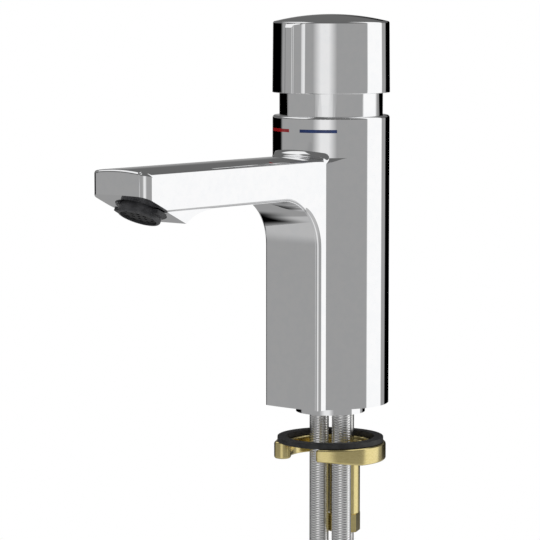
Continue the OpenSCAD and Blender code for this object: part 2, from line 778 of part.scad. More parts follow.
module mixing_rotor() {
    stop_a = turn_each_way + rib_half_a + rib_slack_a;
    color("whitesmoke") {
        difference() {
            union() {
                translate([0, 0, rotor_z]) cylinder(r = housing_bore_r - run_fit, h = rotor_flange_t);
                translate([0, 0, rotor_z]) cylinder(r = barrel_r, h = rotor_top_z - rotor_z);
                pegs(0);
            }
            back_sector(rib_r - pass_fit, housing_bore_r + over, rotor_flange_t + 2 * over,
                rotor_z - over, stop_a);
            translate([0, 0, rotor_z - over]) cylinder(r = wide_bore_r, h = seal_seat_z - rotor_z + over);
            translate([0, 0, rotor_z]) cylinder(r = piston_bore_r, h = rotor_hex_z - rotor_z);
            hexagon(spindle_af + 2 * run_fit, rotor_top_z, rotor_hex_z - over);
            for (a = [45 : 90 : 315]) rotate([0, 0, a]) translate([0, 0, rotor_port_z]) rotate([0, 90, 0])
                cylinder(r = 2, h = barrel_r + over);
        }
    }
}

module turning_disc() {
    color("ivory") difference() {
        translate([0, 0, turning_disc_z]) cylinder(r = turning_disc_r, h = disc_t);
        translate([0, 0, turning_disc_z - over]) linear_extrude(disc_t + 2 * over) intersection() {
            difference() {
                circle(r = hose_x + slot_half_w);
                circle(r = hose_x - slot_half_w);
            }
            translate([-chamber_r, -chamber_r]) square([chamber_d, chamber_r]);
        }
        pegs(seat_fit);
    }
}

module fixed_disc() {
    color("ivory") difference() {
        translate([0, 0, fixed_disc_z]) cylinder(r = housing_bore_r - 0.2, h = disc_t);
        for (side = [-1, 1]) translate([side * hose_x, 0, fixed_disc_z - over])
            cylinder(r = disc_port_r, h = disc_t + 2 * over);
        back_sector(rib_r - run_fit, housing_bore_r + over, disc_t + 2 * over, fixed_disc_z - over,
            rib_half_a + rib_slack_a);
    }
}

module inlet_seals() {
    color("black") for (side = [-1, 1]) translate([side * hose_x, 0, 0])
        washer(disc_port_r + 2, disc_port_r, inlet_seal_t, chamber_floor_z);
}

module cartridge_housing() {
    color("goldenrod") {
        difference() {
            translate([0, 0, chamber_floor_z]) cylinder(r = housing_r, h = housing_top_z - chamber_floor_z);
            translate([0, 0, chamber_floor_z - over])
                cylinder(r = housing_bore_r, h = housing_top_z - housing_plate_t - chamber_floor_z + over);
            cylinder(r = barrel_r + run_fit, h = housing_top_z + over);
            washer(housing_r + over, housing_groove_r, waterway_h + 2, waterway_z - waterway_h / 2 - 1);
            for (z = [lower_seal_z, upper_seal_z])
                ring_groove(housing_r + over, chamber_r - seal_wire, z);
            for (a = [30 : 60 : 330]) rotate([0, 0, a]) translate([0, 0, waterway_z]) rotate([0, 90, 0])
                cylinder(r = 3, h = housing_r + over);
        }
        back_sector(rib_r, housing_bore_r + over / 2, rotor_flange_z - fixed_disc_z,
            fixed_disc_z, rib_half_a);
    }
}

module housing_seals() {
    color("black") for (z = [lower_seal_z, upper_seal_z]) o_ring(chamber_r - seal_wire / 2, seal_wire, z);
}

// The threaded ring that holds the cartridge down
module clamp_ring() {
    slot_w = 3;
    slot_depth = 2;
    slot_z = housing_top_z + clamp_ring_h - slot_depth;
    color("goldenrod") difference() {
        washer(chamber_r - seat_fit, barrel_r + 1.5, clamp_ring_h, housing_top_z);
        for (a = [0, 90]) rotate([0, 0, a]) translate([-chamber_d, -slot_w / 2, slot_z])
            cube([2 * chamber_d, slot_w, slot_depth + over]);
    }
}

module aerator_housing() {
    thread_h = aerator_bore_depth - aerator_seal_t - aerator_groove;
    color([0.22, 0.22, 0.23]) on_slope() difference() {
        union() {
            translate([0, 0, -aerator_out]) rotate_extrude()
                rounded_section(0, aerator_r, aerator_out + aerator_groove, aerator_edge_r);
            translate([0, 0, aerator_groove])
                cylinder(r = aerator_bore_r - seat_fit, h = thread_h);
            intersection() {
                translate([0, 0, -aerator_lug_gap - aerator_lug_t])
                    cylinder(r = aerator_lug_reach, h = aerator_lug_t);
                cube([2 * aerator_lug_reach + over, aerator_lug_w, aerator_lug_reach], center = true);
            }
        }
        translate([0, 0, -aerator_out - over])
            cylinder(r = aerator_r - aerator_wall, h = aerator_bore_depth + aerator_out + 2 * over);
    }
}

module jet_hole() {
    cylinder(r = insert_hole_r, h = spout_side_h, center = true, $fn = 24);
}

module aerator_insert() {
    insert_r = aerator_r - aerator_wall - seat_fit;
    color([0.16, 0.16, 0.17]) on_slope() difference() {
        translate([0, 0, insert_recess - aerator_out]) cylinder(r = insert_r, h = aerator_out + 3);
        for (k = [1, 2]) for (i = [1 : 6 * k]) rotate([0, 0, 60 * i / k])
            translate([insert_pitch * k, 0, 0]) jet_hole();
        jet_hole();
    }
}

module aerator_seal() {
    color("black") on_slope()
        washer(aerator_bore_r - seat_fit, aerator_r - aerator_seal_w, aerator_seal_t,
            aerator_bore_depth - aerator_seal_t);
}

// The threaded plug in the column's foot, which holds the stud and lets the hoses through
module foot_insert() {
    color("silver") difference() {
        union() {
            cylinder(r = foot_r - seat_fit, h = foot_insert_t);
            translate([0, 0, -spigot_h]) cylinder(d = spigot_d, h = spigot_h + over);
        }
        for (side = [-1, 1]) translate([side * hose_x, 0, -spigot_h - over])
            cylinder(r = hose_hole_r, h = foot_insert_t + spigot_h + 2 * over);
        translate([0, stud_y, -spigot_h - over])
            cylinder(r = stud_r + seat_fit / 2, h = foot_insert_t + spigot_h + 2 * over);
    }
}

module base_seal() {
    color("black") washer(base_seal_r + base_seal_w, base_seal_r, base_seal_t, 0);
}

module mounting_stud() {
    color("lightsteelblue") translate([0, stud_y, -stud_drop]) {
        translate([0, 0, stud_chamfer]) cylinder(r = stud_r, h = stud_drop + foot_insert_t - stud_chamfer);
        cylinder(r1 = stud_r - stud_chamfer, r2 = stud_r, h = stud_chamfer);
    }
}

module deck_gasket() {
    color([0.13, 0.13, 0.14]) washer(gasket_od / 2, gasket_id / 2, gasket_t, -gasket_z - gasket_t);
}

module clamp_bracket() {
    knob = (bracket_r - bracket_knob_r + 0.3) * [sin(bracket_knob_a), -cos(bracket_knob_a)];
    mouth_left = bracket_mouth_x - bracket_mouth_w / 2;
    web_h = bracket_t - bracket_web_drop;
    ramp = (bracket_t - bracket_tip_t) / (bracket_ramp_y + bracket_r);
    color([0.71, 0.58, 0.28]) difference() {
        union() {
            difference() {
                washer(bracket_r, bracket_in_r, bracket_t, nut_z);
                translate([mouth_left, -bracket_r - over, nut_z - over])
                    cube([bracket_mouth_w, bracket_r, bracket_t + 2 * over]);
                // The mouth goes on to the knob
                sector(bracket_in_r - over, bracket_r + over, bracket_t + 2 * over, nut_z - over,
                    bracket_knob_a, 0);
                // The underside rises from the side to the mouth
                translate([0, bracket_ramp_y, nut_z]) rotate([90, 0, 90]) linear_extrude(bracket_r + over)
                    polygon([[0, 0], [-bracket_r, bracket_r * ramp], [-bracket_r, -over], [0, -over]]);
            }
            translate([knob[0], knob[1], nut_z]) cylinder(r = bracket_knob_r, h = bracket_t);
            translate([0, stud_y, nut_z]) cylinder(r = bracket_web_r, h = web_h);
            intersection() {
                translate([-bracket_web_r, stud_y, nut_z]) cube([2 * bracket_web_r, bracket_r, web_h]);
                cylinder(r = bracket_in_r + over, h = far, center = true);
            }
        }
        translate([0, stud_y, nut_z - over]) cylinder(r = stud_r + pass_fit, h = bracket_t + 2 * over);
    }
}

module sleeve_nut() {
    color([0.71, 0.58, 0.28]) translate([0, stud_y, 0]) difference() {
        union() {
            translate([0, 0, nut_z - sleeve_len + sleeve_neck])
                cylinder(d = sleeve_d, h = sleeve_len - sleeve_neck);
            translate([0, 0, nut_z - sleeve_len - over])
                cylinder(r = sleeve_hex_af / 2 - sleeve_neck, h = sleeve_neck + 2 * over);
            rotate([0, 0, sleeve_hex_a])
                hexagon(sleeve_hex_af, sleeve_hex_len, nut_z - sleeve_len - sleeve_hex_len);
        }
        translate([0, 0, nut_z - sleeve_len - sleeve_hex_len - over])
            cylinder(r = stud_r + run_fit / 2, h = sleeve_hex_len + 2 * over);
        translate([0, 0, nut_z - sleeve_len]) cylinder(r = stud_r + pass_fit, h = sleeve_len + over);
    }
}

// Upper end of a hose: thread, plain tail down to the hexagon, and the barb in the ferrule
module inlet_fitting(x, ferrule_top_z) {
    ferrule_z = ferrule_top_z - ferrule_len;
    pipe_z = ferrule_top_z + inlet_hex_len - over;
    top_z = hose_ceiling_z + inlet_thread_len;
    color("goldenrod") translate([x, 0, 0]) difference() {
        union() {
            translate([0, 0, hose_ceiling_z]) cylinder(d = inlet_thread_d, h = inlet_thread_len);
            hexagon(inlet_hex_af, inlet_hex_len, ferrule_top_z);
            translate([0, 0, pipe_z]) cylinder(r = inlet_pipe_r, h = hose_ceiling_z + over - pipe_z);
            translate([0, 0, ferrule_z]) cylinder(r = hose_tail_r, h = ferrule_len + over);
        }
        translate([0, 0, ferrule_z - over]) cylinder(r = hose_bore_r, h = top_z - ferrule_z + 2 * over);
    }
}

module ferrule(p, low_z) {
    color("gainsboro") translate([p[0], p[1], 0])
        washer(ferrule_d / 2, hose_tail_r + seat_fit / 2, ferrule_len, low_z);
}

// Lower end of a hose: the barb in the ferrule, the neck and the collar that holds the union nut
module hose_tail(p) {
    color("goldenrod") translate([p[0], p[1], p[2] - ferrule_len]) difference() {
        union() {
            cylinder(r = hose_tail_r, h = ferrule_len);
            translate([0, 0, -tail_neck_len]) cylinder(r = tail_neck_r, h = tail_neck_len);
            translate([0, 0, -tail_neck_len - tail_collar_t])
                cylinder(r = tail_collar_r, h = tail_collar_t);
        }
        translate([0, 0, -tail_neck_len - tail_collar_t - over])
            cylinder(r = hose_bore_r, h = ferrule_len + tail_neck_len + tail_collar_t + 2 * over);
    }
}

module union_nut(p) {
    shoulder_z = p[2] - ferrule_len - tail_neck_len;
    top_z = shoulder_z + union_top_t;
    relief_z = shoulder_z - tail_collar_t - union_seal_t - 0.4;
    chamfer_r = union_af / 2 + 0.5;
    color([0.78, 0.76, 0.72]) translate([p[0], p[1], 0]) difference() {
        intersection() {
            hexagon(union_af, union_h, top_z - union_h);
            translate([0, 0, top_z - union_h])
                cylinder(r1 = chamfer_r + union_h, r2 = chamfer_r, h = union_h);
        }
        translate([0, 0, top_z - union_h - over]) cylinder(d = union_thread_d, h = union_h);
        translate([0, 0, relief_z]) cylinder(r = union_relief_r, h = shoulder_z - relief_z);
        translate([0, 0, shoulder_z - over]) cylinder(r = tail_neck_r + 0.2, h = union_top_t + 2 * over);
    }
}

module hot_inlet_fitting() {
    inlet_fitting(-hose_x, hot_route[0][2] + ferrule_len);
}

module cold_inlet_fitting() {
    inlet_fitting(hose_x, cold_route[0][2] + ferrule_len);
}

module hot_upper_ferrule() {
    ferrule(hot_route[0], hot_route[0][2]);
}

module cold_upper_ferrule() {
    ferrule(cold_route[0], cold_route[0][2]);
}

module hot_hose() {
    color("lightgray") tube(hot_route, hose_d / 2, hose_sides, [0, 1, 0]);
}

module cold_hose() {
    color("lightgray") tube(cold_route, hose_d / 2, hose_sides, [0, 1, 0]);
}

module hot_lower_ferrule() {
    ferrule(hot_end, hot_end[2] - ferrule_len);
}

module cold_lower_ferrule() {
    ferrule(cold_end, cold_end[2] - ferrule_len);
}

module hot_tail() {
    hose_tail(hot_end);
}

module cold_tail() {
    hose_tail(cold_end);
}

module hot_union_nut() {
    union_nut(hot_end);
}

module cold_union_nut() {
    union_nut(cold_end);
}

module under_collars() {
    drop = ferrule_len + tail_neck_len + tail_collar_t + union_seal_t;
    for (p = [hot_end, cold_end]) translate([p[0], p[1], p[2] - drop]) children();
}

module union_seals() {
    color("black") under_collars() washer(tail_collar_r, union_seal_bore_r, union_seal_t, 0);
}

module inlet_strainers() {
    color("gainsboro") under_collars() difference() {
        translate([0, 0, union_seal_t - 1]) cylinder(r = union_seal_bore_r, h = 1);
        for (i = [1 : 6]) rotate([0, 0, 60 * i]) translate([2.4, 0, 0])
            cylinder(r = 0.8, h = union_seal_t + over, $fn = 24);
    }
}

tap_body();
hot_mark();
cold_mark();
push_cap();
cap_carrier();
cap_grub_screw();
carrier_screw();
neck_sleeve();
spindle_seal();
return_spring();
spindle();
piston();
piston_seal();
mixing_rotor();
turning_disc();
fixed_disc();
inlet_seals();
cartridge_housing();
housing_seals();
clamp_ring();
aerator_housing();
aerator_insert();
aerator_seal();
foot_insert();
base_seal();
mounting_stud();
deck_gasket();
clamp_bracket();
sleeve_nut();
hot_inlet_fitting();
hot_upper_ferrule();
hot_hose();
hot_lower_ferrule();
hot_tail();
hot_union_nut();
cold_inlet_fitting();
cold_upper_ferrule();
cold_hose();
cold_lower_ferrule();
cold_tail();
cold_union_nut();
union_seals();
inlet_strainers();
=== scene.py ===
import json
import math

import bmesh
import bpy
import numpy as np
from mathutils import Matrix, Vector


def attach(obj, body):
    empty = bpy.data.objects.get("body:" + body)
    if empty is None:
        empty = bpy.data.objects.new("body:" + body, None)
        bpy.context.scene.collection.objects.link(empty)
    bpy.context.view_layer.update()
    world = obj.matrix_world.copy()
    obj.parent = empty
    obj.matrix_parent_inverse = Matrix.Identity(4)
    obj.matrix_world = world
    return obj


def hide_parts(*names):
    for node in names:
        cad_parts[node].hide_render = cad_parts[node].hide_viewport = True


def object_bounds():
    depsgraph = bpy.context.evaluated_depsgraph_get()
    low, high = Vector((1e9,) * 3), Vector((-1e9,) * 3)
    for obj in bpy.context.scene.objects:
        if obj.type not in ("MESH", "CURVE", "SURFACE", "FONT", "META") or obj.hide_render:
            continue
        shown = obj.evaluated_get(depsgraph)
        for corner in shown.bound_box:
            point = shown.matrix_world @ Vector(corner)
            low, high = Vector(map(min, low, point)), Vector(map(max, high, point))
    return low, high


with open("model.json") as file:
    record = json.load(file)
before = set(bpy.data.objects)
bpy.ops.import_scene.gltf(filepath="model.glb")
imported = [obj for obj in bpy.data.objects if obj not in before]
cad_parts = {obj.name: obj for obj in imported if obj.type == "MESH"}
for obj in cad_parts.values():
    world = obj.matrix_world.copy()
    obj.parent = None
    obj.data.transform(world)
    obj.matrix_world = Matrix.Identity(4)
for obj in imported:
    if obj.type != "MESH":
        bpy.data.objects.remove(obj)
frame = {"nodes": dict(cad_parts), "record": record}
nodes = frame["nodes"]
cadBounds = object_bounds()
mm = 0.001
print("frame loaded:", len(nodes), "pieces")

# Camera, from the photograph's own edges
cameraView = {
    "position": (0.6828, -0.8628, 0.1693),
    "azimuth": 39.66,
    "downTilt": 5.96,
    "lens": 178.9,
    "sensor": 36.0,
    "near": 0.01,
}


def addCamera(view):
    tilt = math.radians(90 - view["downTilt"])
    bpy.ops.object.camera_add(location=view["position"], rotation=(tilt, 0, math.radians(view["azimuth"])))
    camera = bpy.context.object
    camera.name = "photoCamera"
    camera.data.lens = view["lens"]
    camera.data.sensor_width = view["sensor"]
    camera.data.clip_start = view["near"]
    bpy.context.scene.camera = camera


addCamera(cameraView)


def pick(piece):
    bpy.ops.object.select_all(action="DESELECT")
    bpy.context.view_layer.objects.active = piece
    piece.select_set(True)


def pieceFrom(shape, name):
    mesh = bpy.data.meshes.new(name)
    shape.to_mesh(mesh)
    shape.free()
    piece = bpy.data.objects.new(name, mesh)
    bpy.context.scene.collection.objects.link(piece)
    return piece


bpy.ops.object.select_all(action="DESELECT")

# Hoses: the routes repeat those of the solids, in millimetres
hoses = {
    "hot": {"x": -5.9, "foot": (-14.0, 2.0), "topZ": 30.0},
    "cold": {"x": 5.9, "foot": (14.5, -1.0), "topZ": 22.5},
}
hoseRun = {"depth": 312.0, "spreadFrom": -90.0, "spreadTo": -265.0, "steps": 36, "lookAhead": 1.0}
braid = {
    "diameter": 8.1,
    "strandLift": 0.12,
    "columns": 12,
    "rowPitch": 1.035,
    "sidesPerColumn": 4,
    "ringsPerRow": 5,
    "lowestCrown": 0.55,
    "exitZ": 2.0,
}


def smoothStep(f):
    f = max(0.0, min(1.0, f))
    return f * f * (3 - 2 * f)


def hosePoint(hose, z):
    spread = smoothStep((z - hoseRun["spreadFrom"]) / (hoseRun["spreadTo"] - hoseRun["spreadFrom"]))
    x = hose["x"] + spread * (hose["foot"][0] - hose["x"])
    return Vector((x, spread * hose["foot"][1], z)) * mm


def braidHeight(u, v):
    # u counts columns round the hose and v counts rows along it; strands cross over and under each other
    a, b = u / 2 + v, u / 2 - v
    over = (math.floor(a) + math.floor(b)) % 2 == 0
    across, along = (a % 1, b % 1) if over else (b % 1, a % 1)
    low = braid["lowestCrown"]
    return math.sqrt(max(0.0, math.sin(math.pi * across))) * (low + (1 - low) * math.sin(math.pi * along))


def addHose(name, hose):
    top, bottom = hose["topZ"], -hoseRun["depth"]
    rows = round((top - bottom) / braid["rowPitch"])
    rings = rows * braid["ringsPerRow"]
    sides = braid["columns"] * braid["sidesPerColumn"]
    radius = braid["diameter"] / 2 * mm
    lift = braid["strandLift"] * mm
    shape = bmesh.new()
    uv = shape.loops.layers.uv.new("braid")
    loops = []
    for i in range(rings + 1):
        z = top + (bottom - top) * i / rings
        here = hosePoint(hose, z)
        ahead = hosePoint(hose, z - hoseRun["lookAhead"]) - hosePoint(hose, z + hoseRun["lookAhead"])
        sideways = ahead.cross(Vector((0, 1, 0))).normalized()
        outwards = ahead.normalized().cross(sideways)
        ring = []
        for k in range(sides):
            turn = 2 * math.pi * k / sides
            u, v = k / braid["sidesPerColumn"], i / braid["ringsPerRow"]
            r = radius - lift + lift * braidHeight(u, v)
            ring.append(shape.verts.new(here + r * (math.cos(turn) * sideways + math.sin(turn) * outwards)))
        loops.append(ring)
    for i in range(rings):
        for k in range(sides):
            n = (k + 1) % sides
            face = shape.faces.new((loops[i][k], loops[i][n], loops[i + 1][n], loops[i + 1][k]))
            face.smooth = True
            corners = ((k, i), (k + 1, i), (k + 1, i + 1), (k, i + 1))
            for loop, (s, t) in zip(face.loops, corners):
                loop[uv].uv = (s / braid["sidesPerColumn"], t / braid["ringsPerRow"])
    shape.faces.new(loops[0])
    shape.faces.new(list(reversed(loops[-1])))
    bmesh.ops.recalc_face_normals(shape, faces=shape.faces)
    piece = pieceFrom(shape, name)
    route = [hosePoint(hose, top + (bottom - top) * i / hoseRun["steps"]) for i in range(hoseRun["steps"] + 1)]
    length = sum((b - a).length for a, b in zip(route, route[1:]))
    return piece, route, length


hosePieces = {}
for side, hose in hoses.items():
    piece, route, length = addHose(side + "_braided_hose", hose)
    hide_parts(side + "_hose")
    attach(piece, "tap")
    onHose = [nodes[side + "_" + n] for n in ("lower_ferrule", "tail", "union_nut")]
    if side == "hot":
        onHose += [nodes["union_seals"], nodes["inlet_strainers"]]
    hosePieces[side] = piece
    print("hose:", side, round(length, 4))

# Studio: a world that shows the camera plain white and everything else soft cards, and a pale floor that catches
# the shadow and stays out of reflections. Heights in degrees, floor in metres
studio = {
    "level": 0.35,
    "above": 0.14,
    "aboveFrom": (2, 9),
    "below": 0.5,
    "belowFrom": (-9, -30),
    "floorRadius": 0.62,
    "floorFadeFrom": 0.45,
    "floorGap": 0.0005,
    "floorTone": 0.85,
    "floorSides": 96,
    "floorRough": 0.9,
    "floorShine": 0.1,
    "azimuthStart": -60.0,
}
# Azimuths run from the spout's direction towards +X, heights up from the horizon, in degrees; level is what shows
cards = {
    "keyRight": {"from": 114.4, "to": 157, "soft": 3, "low": -90, "high": 70, "rise": 8, "level": 1.04},
    "fillFront": {"from": 10.3, "to": 41.8, "soft": 16.5, "low": -90, "high": 4, "rise": 4, "level": 0.85},
    "rearRight": {"from": 173, "to": 217, "soft": 4, "low": -12, "high": 12, "rise": 5, "level": 0.0},
    "flagLeft": {"from": 231, "to": 285, "soft": 9, "low": -12, "high": 3, "rise": 3, "level": 0.0},
    "floorLeft": {"from": 212, "to": 277, "soft": 8, "low": -90, "high": -20, "rise": 6, "level": 0.32},
    "underLeft": {"from": 264, "to": 299, "soft": 17, "low": -49, "high": -23, "rise": 8, "level": 0.0},
    "topLeft": {"from": 265, "to": 320, "soft": 6, "low": 28, "high": 62, "rise": 6, "level": 0.95},
    "topFront": {"from": -90, "to": -15, "soft": 6, "low": 28, "high": 62, "rise": 6, "level": 0.95},
}
# These cards fade evenly from edge to edge
evenCards = {"fillFront"}


def feed(tree, socket, value):
    # numbers and colours are set, and sockets are linked
    if isinstance(value, tuple):
        socket.default_value = (*value, 1)
    elif isinstance(value, (int, float)):
        socket.default_value = value
    elif value is not None:
        tree.links.new(value, socket)


def mathNode(tree, operation, a, b=None, c=None):
    node = tree.nodes.new("ShaderNodeMath")
    node.operation = operation
    for socket, value in zip(node.inputs, (a, b, c)):
        feed(tree, socket, value)
    return node.outputs[0]


def degreesNode(tree, radians):
    return mathNode(tree, "MULTIPLY", radians, 180 / math.pi)


def stepNode(tree, value, start, end, even=False):
    node = tree.nodes.new("ShaderNodeMapRange")
    node.interpolation_type = "LINEAR" if even else "SMOOTHSTEP"
    tree.links.new(value, node.inputs["Value"])
    node.inputs["From Min"].default_value = start
    node.inputs["From Max"].default_value = end
    return node.outputs["Result"]


def windowNode(tree, value, low, high, soft, even=False):
    rise = stepNode(tree, value, low - soft / 2, low + soft / 2, even)
    fall = stepNode(tree, value, high + soft / 2, high - soft / 2, even)
    return mathNode(tree, "MULTIPLY", rise, fall)


# Which sockets of a mix node are its factor, its two values and its result
mixSockets = {"FLOAT": (0, 2, 3, 0), "RGBA": (0, 6, 7, 2)}


def mixNode(tree, kind, factor, a, b):
    node = tree.nodes.new("ShaderNodeMix")
    node.data_type = kind
    *given, result = mixSockets[kind]
    for index, value in zip(given, (factor, a, b)):
        feed(tree, node.inputs[index], value)
    return node.outputs[result]


def mixValue(tree, factor, a, b):
    return mixNode(tree, "FLOAT", factor, a, b)


def mixColour(tree, factor, a, b):
    return mixNode(tree, "RGBA", factor, a, b)


def buildWorld():
    world = bpy.data.worlds.new("studio")
    bpy.context.scene.world = world
    world.use_nodes = True
    tree = world.node_tree
    tree.nodes.clear()
    place = tree.nodes.new("ShaderNodeTexCoord")
    parts = tree.nodes.new("ShaderNodeSeparateXYZ")
    tree.links.new(place.outputs["Generated"], parts.inputs[0])
    x, y, z = parts.outputs
    azimuth = degreesNode(tree, mathNode(tree, "ARCTAN2", x, mathNode(tree, "MULTIPLY", y, -1.0)))
    # starts where no low card is cut in two
    azimuth = mathNode(tree, "WRAP", azimuth, studio["azimuthStart"] + 360, studio["azimuthStart"])
    height = degreesNode(tree, mathNode(tree, "ARCSINE", z))
    level = mixValue(tree, stepNode(tree, height, *studio["aboveFrom"]), studio["level"], studio["above"])
    level = mixValue(tree, stepNode(tree, height, *studio["belowFrom"]), level, studio["below"])
    for name, card in cards.items():
        across = windowNode(tree, azimuth, card["from"], card["to"], card["soft"], name in evenCards)
        upright = windowNode(tree, height, card["low"], card["high"], card["rise"])
        level = mixValue(tree, mathNode(tree, "MULTIPLY", across, upright), level, card["level"])
    paths = tree.nodes.new("ShaderNodeLightPath")
    level = mixValue(tree, paths.outputs["Is Camera Ray"], level, 1.0)
    background = tree.nodes.new("ShaderNodeBackground")
    tree.links.new(level, background.inputs["Color"])
    output = tree.nodes.new("ShaderNodeOutputWorld")
    tree.links.new(background.outputs[0], output.inputs["Surface"])


buildWorld()
bpy.context.scene.view_settings.view_transform = "Standard"


def addFloor():
    radius = studio["floorRadius"]
    centre = (0, 0, cadBounds[0][2] - studio["floorGap"])
    sides = studio["floorSides"]
    bpy.ops.mesh.primitive_circle_add(vertices=sides, radius=radius, fill_type="NGON", location=centre)
    floor = bpy.context.object
    floor.name = "floor"
    material = bpy.data.materials.new("paleFloor")
    material.use_nodes = True
    tree = material.node_tree
    surface = tree.nodes["Principled BSDF"]
    surface.inputs["Base Color"].default_value = (*[studio["floorTone"]] * 3, 1)
    surface.inputs["Roughness"].default_value = studio["floorRough"]
    surface.inputs["Specular IOR Level"].default_value = studio["floorShine"]
    place = tree.nodes.new("ShaderNodeTexCoord")
    reach = tree.nodes.new("ShaderNodeVectorMath")
    reach.operation = "LENGTH"
    tree.links.new(place.outputs["Object"], reach.inputs[0])
    fade = stepNode(tree, reach.outputs["Value"], radius, radius * studio["floorFadeFrom"])
    # clear when seen from below
    front = mathNode(tree, "SUBTRACT", 1.0, tree.nodes.new("ShaderNodeNewGeometry").outputs["Backfacing"])
    tree.links.new(mathNode(tree, "MULTIPLY", fade, front), surface.inputs["Alpha"])
    floor.data.materials.append(material)
    floor.visible_glossy = False


addFloor()

# Lamps, in metres and watts; reflections don't show them
lamps = {
    "overhead": {"at": (0.1, -0.2, 1.5), "size": 1.6, "power": 11.0},
    "front": {"at": (0.9, -1.3, 0.5), "size": 1.2, "power": 9.0},
    "left": {"at": (-1.4, -0.5, 0.5), "size": 1.2, "power": 7.0},
    "rear": {"at": (0.6, 1.4, 0.6), "size": 1.2, "power": 7.0},
}
for name, lamp in lamps.items():
    bpy.ops.object.light_add(type="AREA", location=lamp["at"])
    light = bpy.context.object
    light.name = name
    light.data.shape = "DISK"
    light.data.size = lamp["size"]
    light.data.energy = lamp["power"]
    light.rotation_euler = (Vector((0, 0, 0)) - Vector(lamp["at"])).to_track_quat("-Z", "Y").to_euler()
    light.visible_glossy = False
print("studio ready")

# Finishes: colour is the clean surface, shade what lies in its grain and, on the braid, the painted shade between
# its strands and wires, worn what a hand or water leaves on it; rough runs from clean to smudged, relief is the
# grain's depth in metres
finishes = {
    "chrome": {
        "metal": 1.0, "rough": (0.03, 0.06), "grain": "drawnGrain", "scale": 320, "stretch": 1.0,
        "colour": (0.92, 0.92, 0.925), "shade": (0.90, 0.905, 0.915), "worn": (0.84, 0.85, 0.86),
        "relief": 1.0e-7, "smudgeScale": 34, "smudges": 0.16,
    },
    "steel": {
        "metal": 1.0, "rough": (0.2, 0.38), "grain": "drawnGrain", "scale": 5200, "stretch": 9.0,
        "colour": (0.72, 0.72, 0.71), "shade": (0.50, 0.49, 0.47), "worn": (0.42, 0.40, 0.37),
        "relief": 1.2e-5, "smudgeScale": 160, "smudges": 0.5,
    },
    # the braid's shade is painted shade, laid by its weave's tone between strands and wires
    "braid": {
        "metal": 1.0, "rough": (0.22, 0.36), "grain": "wireBraid", "scale": 5.0, "stretch": 1.0,
        "colour": (0.97, 0.97, 0.96), "shade": (0.55, 0.55, 0.555), "worn": (0.92, 0.91, 0.90),
        "relief": 2.0e-5, "smudgeScale": 60, "smudges": 0.5,
    },
    "brass": {
        "metal": 1.0, "rough": (0.19, 0.27), "grain": "drawnGrain", "scale": 4200, "stretch": 7.0,
        "colour": (0.80, 0.68, 0.33), "shade": (0.74, 0.62, 0.28), "worn": (0.62, 0.50, 0.22),
        "relief": 1.5e-6, "smudgeScale": 120, "smudges": 0.3,
    },
    "nickel": {
        "metal": 1.0, "rough": (0.12, 0.26), "grain": "drawnGrain", "scale": 3800, "stretch": 6.0,
        "colour": (0.78, 0.75, 0.70), "shade": (0.62, 0.60, 0.55), "worn": (0.52, 0.49, 0.44),
        "relief": 6.0e-6, "smudgeScale": 110, "smudges": 0.5,
    },
    "rubber": {
        "metal": 0.0, "rough": (0.5, 0.72), "grain": "mouldedGrain", "scale": 2600, "stretch": 1.0,
        "colour": (0.020, 0.020, 0.021), "shade": (0.009, 0.009, 0.010), "worn": (0.055, 0.054, 0.052),
        "relief": 3.0e-5, "smudgeScale": 140, "smudges": 0.6,
    },
    "dark_plastic": {
        "metal": 0.0, "rough": (0.34, 0.52), "grain": "mouldedGrain", "scale": 3400, "stretch": 1.0,
        "colour": (0.040, 0.040, 0.044), "shade": (0.022, 0.022, 0.024), "worn": (0.085, 0.085, 0.088),
        "relief": 1.2e-5, "smudgeScale": 150, "smudges": 0.5,
    },
    # painted shade: a darker copy of the dark plastic for the aerator's insert, so that its holes sink into one
    # shade
    "dark_plastic_painted_shade": {
        "metal": 0.0, "rough": (0.5, 0.62), "grain": "mouldedGrain", "scale": 3400, "stretch": 1.0,
        "colour": (0.012, 0.012, 0.013), "shade": (0.007, 0.007, 0.008), "worn": (0.022, 0.022, 0.023),
        "relief": 8.0e-6, "smudgeScale": 150, "smudges": 0.5,
    },
    "pale_plastic": {
        "metal": 0.0, "rough": (0.36, 0.55), "grain": "mouldedGrain", "scale": 3000, "stretch": 1.0,
        "colour": (0.80, 0.79, 0.75), "shade": (0.70, 0.69, 0.64), "worn": (0.62, 0.60, 0.54),
        "relief": 1.2e-5, "smudgeScale": 120, "smudges": 0.4,
    },
    "ceramic": {
        "metal": 0.0, "rough": (0.1, 0.22), "grain": "mouldedGrain", "scale": 5200, "stretch": 1.0,
        "colour": (0.86, 0.84, 0.78), "shade": (0.78, 0.75, 0.68), "worn": (0.70, 0.67, 0.60),
        "relief": 3.0e-6, "smudgeScale": 90, "smudges": 0.4,
    },
    "red_enamel": {
        "metal": 0.0, "rough": (0.18, 0.34), "grain": "mouldedGrain", "scale": 2800, "stretch": 1.0,
        "colour": (0.34, 0.010, 0.012), "shade": (0.24, 0.006, 0.008), "worn": (0.20, 0.02, 0.02),
        "relief": 4.0e-6, "smudgeScale": 200, "smudges": 0.4,
    },
    "blue_enamel": {
        "metal": 0.0, "rough": (0.18, 0.34), "grain": "mouldedGrain", "scale": 2800, "stretch": 1.0,
        "colour": (0.016, 0.040, 0.15), "shade": (0.010, 0.026, 0.11), "worn": (0.04, 0.05, 0.11),
        "relief": 4.0e-6, "smudgeScale": 200, "smudges": 0.4,
    },
}


